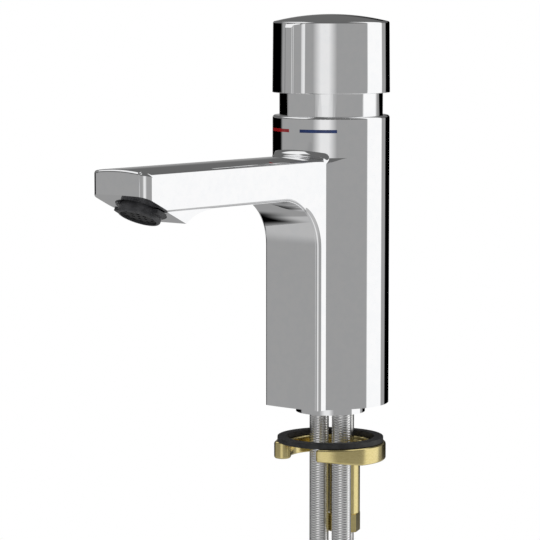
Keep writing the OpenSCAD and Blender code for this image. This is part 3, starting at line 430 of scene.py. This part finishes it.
def effectGroup(name, inputs, outputs):
    group = bpy.data.node_groups.new(name, "ShaderNodeTree")
    for label in inputs:
        kind = "NodeSocketVector" if label == "Vector" else "NodeSocketFloat"
        group.interface.new_socket(name=label, in_out="INPUT", socket_type=kind)
    for label in outputs:
        group.interface.new_socket(name=label, in_out="OUTPUT", socket_type="NodeSocketFloat")
    return group, group.nodes.new("NodeGroupInput").outputs, group.nodes.new("NodeGroupOutput").inputs


grainInputs = ("Vector", "Scale", "Stretch")
grainOutputs = ("Tone", "Height")
# The detail of each pattern, between which of its values the tone changes, and how much its parts weigh
grains = {
    "smudges": {"detail": 4.0, "tone": (0.46, 0.74), "finer": 13.0, "fineDetail": 2.0, "fine": 0.8, "least": 0.35},
    "drawnGrain": {"detail": 2.0, "tone": (0.36, 0.62)},
    "mouldedGrain": {"detail": 3.0, "tone": (0.34, 0.66), "coarser": 6.0, "pits": (0.05, 0.5), "pitWeight": 0.5},
    # the braid's tone steps and weights set its painted shade: between strands, where a strand dips under the next,
    # and between wires
    "wireBraid": {"tone": (0.25, 0.7), "floatWeight": 0.3, "wireWeight": 0.35},
}


def noiseNode(tree, place, scale, detail):
    node = tree.nodes.new("ShaderNodeTexNoise")
    tree.links.new(place, node.inputs["Vector"])
    tree.links.new(scale, node.inputs["Scale"])
    node.inputs["Detail"].default_value = detail
    return node.outputs["Fac"]


def buildSmudges():
    # broad dull patches, as hands, water and time leave them
    s = grains["smudges"]
    group, given, out = effectGroup("smudges", ("Vector", "Scale", "Amount"), ("Mask",))
    patches = stepNode(group, noiseNode(group, given["Vector"], given["Scale"], s["detail"]), *s["tone"])
    fineScale = mathNode(group, "MULTIPLY", given["Scale"], s["finer"])
    fine = noiseNode(group, given["Vector"], fineScale, s["fineDetail"])
    patches = mathNode(group, "MULTIPLY", patches, mathNode(group, "MULTIPLY_ADD", fine, s["fine"], s["least"]))
    group.links.new(mathNode(group, "MULTIPLY", patches, given["Amount"]), out["Mask"])


def buildDrawnGrain():
    # fine lines that run round an upright axis, as turning and polishing leave them
    s = grains["drawnGrain"]
    group, given, out = effectGroup("drawnGrain", grainInputs, grainOutputs)
    parts = group.nodes.new("ShaderNodeSeparateXYZ")
    group.links.new(given["Vector"], parts.inputs[0])
    joined = group.nodes.new("ShaderNodeCombineXYZ")
    for axis in (0, 1):
        group.links.new(mathNode(group, "DIVIDE", parts.outputs[axis], given["Stretch"]), joined.inputs[axis])
    group.links.new(parts.outputs[2], joined.inputs[2])
    lines = noiseNode(group, joined.outputs[0], given["Scale"], s["detail"])
    group.links.new(stepNode(group, lines, *s["tone"]), out["Tone"])
    group.links.new(lines, out["Height"])


def buildMouldedGrain():
    # small round pits among a soft unevenness, as moulded and fired pieces have
    s = grains["mouldedGrain"]
    group, given, out = effectGroup("mouldedGrain", grainInputs, grainOutputs)
    coarse = mathNode(group, "DIVIDE", given["Scale"], s["coarser"])
    uneven = noiseNode(group, given["Vector"], coarse, s["detail"])
    pits = group.nodes.new("ShaderNodeTexVoronoi")
    group.links.new(given["Vector"], pits.inputs["Vector"])
    group.links.new(mathNode(group, "DIVIDE", given["Scale"], given["Stretch"]), pits.inputs["Scale"])
    depth = stepNode(group, pits.outputs["Distance"], *s["pits"])
    group.links.new(stepNode(group, uneven, *s["tone"]), out["Tone"])
    group.links.new(mathNode(group, "MULTIPLY_ADD", depth, s["pitWeight"], uneven), out["Height"])


def buildWireBraid():
    # bundles of wire that cross over and under each other, with painted shade between strands and wires; the vector
    # counts columns and rows
    s = grains["wireBraid"]
    group, given, out = effectGroup("wireBraid", grainInputs, grainOutputs)
    parts = group.nodes.new("ShaderNodeSeparateXYZ")
    group.links.new(given["Vector"], parts.inputs[0])
    half = mathNode(group, "MULTIPLY", parts.outputs[0], 0.5)
    rows = mathNode(group, "DIVIDE", parts.outputs[1], given["Stretch"])
    a, b = mathNode(group, "ADD", half, rows), mathNode(group, "SUBTRACT", half, rows)
    cells = mathNode(group, "ADD", mathNode(group, "FLOOR", a), mathNode(group, "FLOOR", b))
    under = mathNode(group, "FLOORED_MODULO", cells, 2.0)
    partA, partB = mathNode(group, "FRACT", a), mathNode(group, "FRACT", b)
    across, along = mixValue(group, under, partA, partB), mixValue(group, under, partB, partA)
    crown = mathNode(group, "SINE", mathNode(group, "MULTIPLY", across, math.pi))
    floats = mathNode(group, "SINE", mathNode(group, "MULTIPLY", along, math.pi))
    turns = mathNode(group, "MULTIPLY", mathNode(group, "MULTIPLY", across, given["Scale"]), 2 * math.pi)
    wires = mathNode(group, "MULTIPLY_ADD", mathNode(group, "COSINE", turns), -0.5, 0.5)
    # painted shade: the tone darkens towards each strand's edges and where it dips under the next; the same values
    # shape the bump
    floatShadeAndLift = mathNode(group, "MULTIPLY_ADD", floats, s["floatWeight"], 1 - s["floatWeight"])
    body = mathNode(group, "MULTIPLY", stepNode(group, crown, *s["tone"]), floatShadeAndLift)
    # painted shade in the grooves between wires, lighter on their crowns; the same lines shape the bump
    wireGrooveShade = mathNode(group, "MULTIPLY_ADD", wires, s["wireWeight"], 1 - s["wireWeight"])
    group.links.new(mathNode(group, "MULTIPLY", body, wireGrooveShade), out["Tone"])
    group.links.new(mathNode(group, "MULTIPLY_ADD", wires, s["wireWeight"], body), out["Height"])


buildSmudges()
buildDrawnGrain()
buildMouldedGrain()
buildWireBraid()


def placeGroup(tree, name, vector, **values):
    node = tree.nodes.new("ShaderNodeGroup")
    node.node_tree = bpy.data.node_groups[name]
    tree.links.new(vector, node.inputs["Vector"])
    for label, value in values.items():
        node.inputs[label].default_value = value
    return node.outputs


def finishMaterial(name, finish):
    material = bpy.data.materials.new(name)
    material.use_nodes = True
    tree = material.node_tree
    surface = tree.nodes["Principled BSDF"]
    surface.inputs["Metallic"].default_value = finish["metal"]
    place = tree.nodes.new("ShaderNodeTexCoord")
    follow = place.outputs["UV" if finish["grain"] == "wireBraid" else "Object"]
    grain = placeGroup(tree, finish["grain"], follow, Scale=finish["scale"], Stretch=finish["stretch"])
    patches = {"Scale": finish["smudgeScale"], "Amount": finish["smudges"]}
    smudge = placeGroup(tree, "smudges", place.outputs["Object"], **patches)
    # the grain's tone mixes in the shade colour; on the braid this is painted shade
    colour = mixColour(tree, grain["Tone"], finish["shade"], finish["colour"])
    tree.links.new(mixColour(tree, smudge["Mask"], colour, finish["worn"]), surface.inputs["Base Color"])
    low, high = finish["rough"]
    tree.links.new(mixValue(tree, smudge["Mask"], low, high), surface.inputs["Roughness"])
    bump = tree.nodes.new("ShaderNodeBump")
    bump.inputs["Strength"].default_value = 1.0
    bump.inputs["Distance"].default_value = finish["relief"]
    tree.links.new(grain["Height"], bump.inputs["Height"])
    tree.links.new(bump.outputs["Normal"], surface.inputs["Normal"])
    return material


materials = {name: finishMaterial(name, finish) for name, finish in finishes.items()}
print("finishes:", len(materials))


def give(piece, name):
    piece.data.materials.clear()
    piece.data.materials.append(materials[name])


slotOf = {entry["node"]: entry["material_slot"] for entry in frame["record"]["subparts"]}
for name, piece in nodes.items():
    give(piece, slotOf[name])
for piece in hosePieces.values():
    give(piece, "braid")

bodyOf = {n: body for body, group in frame["record"]["behaviour"]["bodies"].items() for n in group}

# Machined skins: the solids' own meshes, merged, with the normals of the true surfaces they were cut from.
# These sizes repeat the tap body's own, in millimetres
tapShape = {
    "columnRadius": 24.0,
    "rimRadius": 1.1,
    "columnTop": 118.5,
    "halfWidth": 14.35,
    "frontReach": 26.1,
    "frontBow": 0.5,
    "cornerRadius": 1.9,
    "spoutReach": 128.7,
    "spoutUnder": 85.7,
    "spoutSide": 15.7,
    "spoutArch": 1.3,
    "longEdgeRadius": 2.0,
    "underFilletRadius": 19.5,
    "tipCornerRadius": 3.7,
    "tipBow": 0.6,
    "hollowRadius": 3.0,
    "hollowSink": 0.05,
    "tipEdgeRadius": 1.2,
    "tipEdgeCuts": 8,
    "tipCutsDeep": 34,
    "topNear": 0.15,
    "leastRadius": 0.01,
    "tipInset": 0.0003,
    "refineFrom": 122.0,
    "refineAbove": 97.0,
}
# Where the tip's skin is cut, on both sides of its middle
tipCuts = (
    1.5, 3, 4.5, 6, 7.5, 9, 10, 10.65, 11.2, 11.7,
    12.2, 12.6, 12.9, 13.2, 13.5, 13.75, 13.95, 14.1, 14.2, 14.3,
)
# How near points count as one or as lying on a cut, in millimetres
nearness = {"merged": 0.002, "sliver": 0.001, "capMerged": 0.0005, "cut": 0.0001, "beside": 0.001}
# Keeps divisions off zero
tiny = 1e-9


def bowRadius(width, bow):
    return (width * width + bow * bow) / (2 * bow)


def cylinderSurface(axis, centre, radius):
    keep = [k for k in range(3) if k != axis]

    def surface(points):
        away = np.zeros_like(points)
        for k in keep:
            away[:, k] = points[:, k] - centre[k]
        reach = np.linalg.norm(away, axis=1)
        return reach - radius, away / np.maximum(reach, tiny)[:, None]

    return surface


def ringSurface(axis, centre, ringRadius, ringPlace, radius):
    # a surface turned about an axis: ringPlace is where the small circle's centre lies along that axis
    keep = [k for k in range(3) if k != axis]

    def surface(points):
        away = np.zeros_like(points)
        for k in keep:
            away[:, k] = points[:, k] - centre[k]
        reach = np.maximum(np.linalg.norm(away, axis=1), tiny)
        outwards = away / reach[:, None]
        u, v = reach - ringRadius, points[:, axis] - ringPlace
        size = np.maximum(np.hypot(u, v), tiny)
        normal = outwards * (u / size)[:, None]
        normal[:, axis] = v / size
        return size - radius, normal

    return surface


def archHeight(x):
    t = tapShape
    radius = bowRadius(t["halfWidth"], t["spoutArch"])
    top = t["spoutUnder"] + t["spoutSide"] + t["spoutArch"]
    return top - radius + np.sqrt(radius * radius - x * x)


def spoutTopHeight(x):
    t = tapShape
    r = t["longEdgeRadius"]
    edge = archHeight(t["halfWidth"] - r) - r
    run = np.maximum(0.0, np.abs(x) - t["halfWidth"] + r)
    rounded = edge + np.sqrt(np.maximum(0.0, r * r - run * run))
    return np.where(run > 0, np.minimum(archHeight(x), rounded), archHeight(x))


def tipFront(x):
    # Y of the tip's outline, seen from above
    t = tapShape
    bow, r = bowRadius(t["halfWidth"], t["tipBow"]), t["tipCornerRadius"]
    front = -t["spoutReach"] + bow - np.sqrt(bow * bow - x * x)
    run = np.maximum(0.0, np.abs(x) - t["halfWidth"] + r)
    corner = -t["spoutReach"] + t["tipBow"] + r - np.sqrt(np.maximum(0.0, r * r - run * run))
    return np.where(run > 0, np.maximum(front, corner), front)


def tipEdgeRadius(x):
    t = tapShape
    run = np.clip((np.abs(x) - t["halfWidth"] + t["longEdgeRadius"]) / t["longEdgeRadius"], 0, 1)
    return t["tipEdgeRadius"] * np.sqrt(1 - run * run)


def tipTopHeight(x, y):
    r = tipEdgeRadius(x)
    behind = np.clip(y - tipFront(x), 0, r)
    return spoutTopHeight(x) - r + np.sqrt(np.maximum(0.0, r * r - (r - behind) ** 2))


def hollowHeight(x, y):
    t = tapShape
    r = t["hollowRadius"]
    off = np.clip(np.hypot(x, y) - t["columnRadius"] + t["hollowSink"], 0, r)
    return spoutTopHeight(x) + r - t["hollowSink"] - np.sqrt(np.maximum(0.0, r * r - (r - off) ** 2))


def heightSurface(height, step=0.004):
    def surface(points):
        x, y, z = points.T
        slopeX = (height(x + step, y) - height(x - step, y)) / (2 * step)
        slopeY = (height(x, y + step) - height(x, y - step)) / (2 * step)
        normal = np.stack([-slopeX, -slopeY, np.ones_like(x)], axis=1)
        size = np.linalg.norm(normal, axis=1)
        return (z - height(x, y)) / size, normal / size[:, None]

    return surface


def tapSurfaces():
    t = tapShape
    half, corner = t["halfWidth"], t["cornerRadius"]
    bow = bowRadius(half, t["frontBow"])
    inFace = corner + t["frontBow"]
    axisY, axisZ = -t["frontReach"] - t["underFilletRadius"], t["spoutUnder"] - t["underFilletRadius"]
    rim, hollow, sink = t["rimRadius"], t["hollowRadius"], t["hollowSink"]
    longEdge = archHeight(half - t["longEdgeRadius"]) - t["longEdgeRadius"]
    found = [
        cylinderSurface(2, (0, 0, 0), t["columnRadius"]),
        ringSurface(2, (0, 0, 0), t["columnRadius"] - rim, t["columnTop"] - rim, rim),
        cylinderSurface(2, (0, bow - t["frontReach"], 0), bow),
        cylinderSurface(1, (0, 0, t["spoutUnder"] + bow), bow),
        ringSurface(0, (0, axisY, axisZ), t["underFilletRadius"] + bow, 0, bow),
        cylinderSurface(2, (0, -t["spoutReach"] + bowRadius(half, t["tipBow"]), 0), bowRadius(half, t["tipBow"])),
        ringSurface(2, (0, 0, 0), t["columnRadius"] + hollow - sink, longEdge + hollow - 2 * sink, hollow),
        heightSurface(tipTopHeight),
        heightSurface(hollowHeight),
    ]
    for side in (-1, 1):
        tipX = side * (half - t["tipCornerRadius"])
        tipY = -t["spoutReach"] + t["tipCornerRadius"] + t["tipBow"]
        found += [
            cylinderSurface(2, (side * (half - corner), -t["frontReach"] + inFace, 0), corner),
            cylinderSurface(1, (side * (half - corner), 0, t["spoutUnder"] + inFace), corner),
            ringSurface(0, (0, axisY, axisZ), t["underFilletRadius"] + inFace, side * (half - corner), corner),
            cylinderSurface(2, (tipX, tipY, 0), t["tipCornerRadius"]),
        ]
    return found


# How far a face may lie and turn from a known surface, in millimetres and degrees, and what counts as flat
normalLimits = {
    "near": 0.02,
    "centreNear": 0.25,
    "turn": 14.0,
    "levelTurn": 0.08,
    "flatArea": 2.5,
    "anchorTurn": 22.0,
    "blendTurn": 32.0,
}


def cosDegrees(angle):
    return np.cos(np.radians(angle))


def flatRegions(corner, start, size, faceNormal):
    # A number for each face, the same where faces are joined across edges that don't bend
    region = np.arange(len(size))

    def leader(i):
        while region[i] != i:
            region[i] = region[region[i]]
            i = region[i]
        return i

    edgeFaces = {}
    for face, (s, n) in enumerate(zip(start, size)):
        ring = corner[s : s + n]
        for a, b in zip(ring, np.roll(ring, -1)):
            edgeFaces.setdefault((min(a, b), max(a, b)), []).append(face)
    level = cosDegrees(normalLimits["levelTurn"])
    for pair in edgeFaces.values():
        if len(pair) == 2 and faceNormal[pair[0]] @ faceNormal[pair[1]] > level:
            region[leader(pair[0])] = leader(pair[1])
    return np.array([leader(i) for i in range(len(size))])


def trueNormals(piece, surfaces):
    # Each corner takes the normal of the surface its face was cut from; flat faces keep their own,
    # and what is left is averaged with its neighbours
    limit = normalLimits
    mesh = piece.data
    shape = bmesh.new()
    shape.from_mesh(mesh)
    bmesh.ops.triangulate(shape, faces=[f for f in shape.faces if len(f.verts) > 4])
    shape.to_mesh(mesh)
    shape.free()
    mesh.polygons.foreach_set("use_smooth", [True] * len(mesh.polygons))
    points = np.empty(len(mesh.vertices) * 3)
    mesh.vertices.foreach_get("co", points)
    points = points.reshape(-1, 3) / mm
    corner = np.empty(len(mesh.loops), int)
    mesh.loops.foreach_get("vertex_index", corner)
    start = np.array([p.loop_start for p in mesh.polygons])
    size = np.array([p.loop_total for p in mesh.polygons])
    faceOf = np.repeat(np.arange(len(size)), size)
    faceNormal = np.array([p.normal for p in mesh.polygons])
    area = np.array([p.area for p in mesh.polygons]) / mm**2
    cornerNormal = faceNormal[faceOf].copy()
    centre = np.add.reduceat(points[corner], start) / size[:, None]
    settled = np.full(len(size), cosDegrees(limit["turn"]))
    known = np.zeros(len(size), bool)
    for surface in surfaces:
        away, normal = surface(points)
        worst = np.maximum.reduceat(np.abs(away)[corner], start)
        centreAway, centreNormal = surface(centre)
        agree = (centreNormal * faceNormal).sum(1)
        fits = (worst < limit["near"]) & (np.abs(centreAway) < limit["centreNear"]) & (np.abs(agree) > settled)
        settled[fits] = np.abs(agree)[fits]
        known |= fits
        sign = np.sign(agree)
        inFit = fits[faceOf]
        cornerNormal[inFit] = normal[corner[inFit]] * sign[faceOf[inFit]][:, None]
    region = flatRegions(corner, start, size, faceNormal)
    flat = (np.bincount(region, area, len(size))[region] > limit["flatArea"]) & ~known
    loose = ~(known | flat)
    fixed = ~loose[faceOf]
    byVertex = {}
    for i, v in enumerate(corner):
        byVertex.setdefault(v, []).append(i)
    close, tight = cosDegrees(limit["blendTurn"]), cosDegrees(limit["anchorTurn"])
    for i in np.nonzero(~fixed)[0]:
        mine = faceNormal[faceOf[i]]
        around = byVertex[corner[i]]
        anchors = [j for j in around if fixed[j] and cornerNormal[j] @ mine > tight]
        if anchors:
            best = max(anchors, key=lambda j: area[faceOf[j]])
            cornerNormal[i] = cornerNormal[best]
            continue
        total = sum(faceNormal[faceOf[j]] * area[faceOf[j]] for j in around if faceNormal[faceOf[j]] @ mine > close)
        cornerNormal[i] = total / np.linalg.norm(total)
    mesh.normals_split_custom_set(cornerNormal.tolist())
    counts = (len(size), int(known.sum()), int(flat.sum()), int(loose.sum()))
    print("normals:", piece.name, "faces %d, on known surfaces %d, flat %d, averaged %d" % counts)


def roundTip(shape):
    # The tip's upper front edge is rounded: the skin is cut fine there, and its top turns down to the front face
    t = tapShape
    behind, low = -t["refineFrom"] * mm, t["refineAbove"] * mm
    beside, dist = nearness["beside"] * mm, nearness["cut"] * mm

    def nearTip(floor=low):
        def inside(face):
            return all(v.co.y < behind + beside and v.co.z > floor - beside for v in face.verts)

        faces = [f for f in shape.faces if inside(f)]
        return list({v for f in faces for v in f.verts}) + list({e for f in faces for e in f.edges}) + faces

    everything = list(shape.verts) + list(shape.edges) + list(shape.faces)
    bmesh.ops.bisect_plane(shape, geom=everything, dist=dist, plane_co=(0, behind, 0), plane_no=(0, 1, 0))
    bmesh.ops.bisect_plane(shape, geom=nearTip(0), dist=dist, plane_co=(0, 0, low), plane_no=(0, 0, 1))
    step = t["tipEdgeRadius"] / t["tipEdgeCuts"]
    cuts = [((0, 1, 0), (0, (-t["spoutReach"] + step * k) * mm, 0)) for k in range(1, t["tipCutsDeep"])]
    for x in tipCuts:
        cuts += [((1, 0, 0), (side * x * mm, 0, 0)) for side in (-1, 1)]
    for normal, place in cuts:
        bmesh.ops.bisect_plane(shape, geom=nearTip(), dist=dist, plane_co=place, plane_no=normal)
    verts = [v for v in shape.verts if v.co.y < behind + beside and v.co.z > low + beside]
    place = np.array([v.co for v in verts]) / mm
    x, y, z = place.T
    radius, front, top = tipEdgeRadius(x), tipFront(x), spoutTopHeight(x)
    turn = np.clip((y - front) / np.maximum(radius, tiny), 0, 1) * math.pi / 2
    onTop = (np.abs(z - top) < t["topNear"]) & (y < front + radius) & (radius > t["leastRadius"])
    for v, move, a, r, f, h in zip(verts, onTop, turn, radius, front, top):
        if move:
            v.co.y = (f + r * (1 - math.cos(a)) + t["tipInset"]) * mm
            v.co.z = (h - r * (1 - math.sin(a))) * mm


def skinOf(node, shaping=None):
    # A copy of a node's mesh with its doubles merged, shaped further where asked, in the node's place
    shape = bmesh.new()
    shape.from_mesh(nodes[node].data)
    bmesh.ops.remove_doubles(shape, verts=shape.verts, dist=nearness["merged"] * mm)
    if shaping:
        shaping(shape)
    bmesh.ops.dissolve_degenerate(shape, edges=shape.edges, dist=nearness["sliver"] * mm)
    piece = pieceFrom(shape, node + "_skin")
    give(piece, slotOf[node])
    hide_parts(node)
    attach(piece, bodyOf[node])
    return piece


tap = skinOf("tap_body", roundTip)
trueNormals(tap, tapSurfaces())


# The push cap: a turned shell, with a raised pointer down its front whose top end is cut off at a slant
capShape = {
    "radius": 24.078,
    "topRadius": 23.81,
    "bottom": 127.7,
    "rimStart": 155.9,
    "rimRadius": 0.8,
    "rimTurn": 76,
    "footRadius": 0.25,
    "domeTop": 159.5,
    "domeRadius": 95.94,
    "bore": 21.5,
    "ceiling": 155.3,
    "screwZ": 150.1,
    "screwRadius": 2.05,
    "drillY": 23,
    "drillDepth": 8,
    "drillSides": 48,
    "footSteps": 4,
    "rimSteps": 12,
    "domeSteps": 18,
    "sharpFrom": 38,
    "pointerFrom": -22,
    "pointerTo": 18,
    "pointerStep": 0.25,
    "outlineMargin": 2,
    "outlineStep": 0.05,
    "outlineSoft": 15,
    "roundStep": 2,
}
# Where the side and the pointer's slanted end have their rows
sideRows = (0.12, 0.25, 0.4, 0.55, 0.7, 0.85, 0.93, 0.965, 0.985, 0.995, 1.0)
slantRows = (0.06, 0.3, 0.65, 1.0)
# Round the cap from the spout's direction: degrees, how far the pointer stands out, how far its top end lies
# below the rim
pointer = [
    (-22, 0, 0), (-11.2, 0, 0), (-10.4, 0.85, 1.45), (-9.8, 1.0, 1.7), (-8.8, 1.03, 1.75),
    (-2.6, 1.03, 1.75), (-1.8, 1.0, 1.6), (-1.3, 0.93, 1.4), (-0.4, 0.42, 0.95), (0.4, 0.36, 0.75),
    (1.2, 0.38, 0.6), (4.5, 0.46, 0.45), (8.2, 0.54, 0.45), (8.8, 0.5, 0.42), (12.4, 0.02, 0.03),
    (13.1, 0, 0), (18, 0, 0),
]


def capProfile(rise, drop):
    c = capShape
    foot, rim = c["footRadius"], c["rimRadius"]
    top = c["rimStart"] - drop
    line = [(c["bore"], c["ceiling"]), (c["bore"], c["bottom"])]
    for k in range(c["footSteps"] + 1):
        a = math.radians(90 * k / c["footSteps"])
        line.append((c["radius"] + rise - foot + foot * math.sin(a), c["bottom"] + foot - foot * math.cos(a)))
    for f in sideRows:
        z = c["bottom"] + foot + f * (top - c["bottom"] - foot)
        taper = (c["radius"] - c["topRadius"]) * (z - c["bottom"]) / (c["rimStart"] - c["bottom"])
        line.append((c["radius"] + rise - taper, z))
    for f in slantRows:
        line.append((c["topRadius"] + rise * (1 - f), top + drop * f))
    for k in range(1, c["rimSteps"] + 1):
        a = math.radians(c["rimTurn"] * k / c["rimSteps"])
        line.append((c["topRadius"] - rim + rim * math.cos(a), c["rimStart"] + rim * math.sin(a)))
    centre = c["domeTop"] - c["domeRadius"]
    start = line[-1][0]
    for k in range(1, c["domeSteps"]):
        r = start * (1 - k / c["domeSteps"])
        line.append((r, centre + math.sqrt(c["domeRadius"] ** 2 - r * r)))
    return line


def addCap():
    c = capShape
    first, last = c["pointerFrom"], c["pointerTo"]
    turns = np.arange(first, last, c["pointerStep"])
    turns = np.concatenate([turns, np.arange(last, first + 360, c["roundStep"])])
    # the pointer's outline, read in fine steps and averaged over a few of them
    degrees, stand, below = np.array(pointer).T
    fine = np.arange(first - c["outlineMargin"], last + c["outlineMargin"], c["outlineStep"])
    soft = np.ones(c["outlineSoft"]) / c["outlineSoft"]
    rise = np.convolve(np.interp(fine, degrees, stand), soft, "same")
    drop = np.convolve(np.interp(fine, degrees, below), soft, "same")
    shape = bmesh.new()
    rings = []
    for turn in turns:
        a = math.radians(turn)
        line = capProfile(np.interp(turn, fine, rise, right=0), np.interp(turn, fine, drop, right=0))
        rings.append([shape.verts.new((r * math.sin(a) * mm, -r * math.cos(a) * mm, z * mm)) for r, z in line])
    crown = shape.verts.new((0, 0, c["domeTop"] * mm))
    roof = shape.verts.new((0, 0, c["ceiling"] * mm))
    for here, ahead in zip(rings, rings[1:] + rings[:1]):
        for k in range(len(here) - 1):
            shape.faces.new((here[k], ahead[k], ahead[k + 1], here[k + 1]))
        shape.faces.new((here[-1], ahead[-1], crown))
        shape.faces.new((ahead[0], here[0], roof))
    bmesh.ops.remove_doubles(shape, verts=shape.verts, dist=nearness["capMerged"] * mm)
    bmesh.ops.dissolve_degenerate(shape, edges=shape.edges, dist=nearness["capMerged"] * mm)
    bmesh.ops.recalc_face_normals(shape, faces=shape.faces)
    cap = pieceFrom(shape, "push_cap_shell")
    bpy.ops.object.select_all(action="DESELECT")
    bpy.ops.mesh.primitive_cylinder_add(
        vertices=c["drillSides"],
        radius=c["screwRadius"] * mm,
        depth=c["drillDepth"] * mm,
        location=(0, c["drillY"] * mm, c["screwZ"] * mm),
        rotation=(math.pi / 2, 0, 0),
    )
    drill = bpy.context.object
    cut = cap.modifiers.new("screwHole", "BOOLEAN")
    cut.operation, cut.object = "DIFFERENCE", drill
    pick(cap)
    bpy.ops.object.modifier_apply(modifier=cut.name)
    bpy.data.objects.remove(drill)
    bpy.ops.object.shade_smooth_by_angle(angle=math.radians(c["sharpFrom"]))
    cap.select_set(False)
    return cap


cap = addCap()
give(cap, "chrome")
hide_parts("push_cap")
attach(cap, bodyOf["push_cap"])
print("cap ready:", len(cap.data.polygons), "faces")

# Every other solid: its own mesh, merged, with broken edges where the real piece has them, in millimetres
edgeStyle = {"beveledFrom": 38, "sharpFrom": 20, "segments": 3, "flatTurn": 0.5}
brokenEdges = {
    "clamp_bracket": 0.9,
    "deck_gasket": 0.3,
    "sleeve_nut": 0.35,
    "aerator_housing": 0.3,
    "hot_union_nut": 0.5,
    "cold_union_nut": 0.5,
}
# Radii of upright walls whose normals come from their own cylinders
roundWalls = {"foot_insert": (14.3, 18.95)}


def joinFlats(shape):
    flat = math.radians(edgeStyle["flatTurn"])
    bmesh.ops.dissolve_limit(shape, angle_limit=flat, verts=shape.verts, edges=shape.edges)


def smoothSkin(node):
    edge = brokenEdges.get(node, 0)
    piece = skinOf(node, joinFlats if edge else None)
    if node in roundWalls:
        trueNormals(piece, [cylinderSurface(2, (0, 0, 0), radius) for radius in roundWalls[node]])
        return piece
    pick(piece)
    if edge:
        bevel = piece.modifiers.new("brokenEdge", "BEVEL")
        bevel.limit_method = "ANGLE"
        bevel.angle_limit = math.radians(edgeStyle["beveledFrom"])
        bevel.width = edge * mm
        # the bracket's short edges beside its knob would clamp the whole bevel
        bevel.use_clamp_overlap = node != "clamp_bracket"
        bevel.segments = edgeStyle["segments"]
        bpy.ops.object.modifier_apply(modifier=bevel.name)
    bpy.ops.object.shade_smooth_by_angle(angle=math.radians(edgeStyle["sharpFrom"]))
    even = piece.modifiers.new("evenShading", "WEIGHTED_NORMAL")
    even.keep_sharp = True
    bpy.ops.object.modifier_apply(modifier=even.name)
    piece.select_set(False)
    return piece


alreadyDressed = {"hot_hose", "cold_hose", "tap_body", "push_cap"}
for node in sorted(set(nodes) - alreadyDressed):
    piece = smoothSkin(node)
    # the aerator's insert takes the darker copy of the dark plastic, its painted shade
    if node == "aerator_insert":
        give(piece, "dark_plastic_painted_shade")
print("dressed")
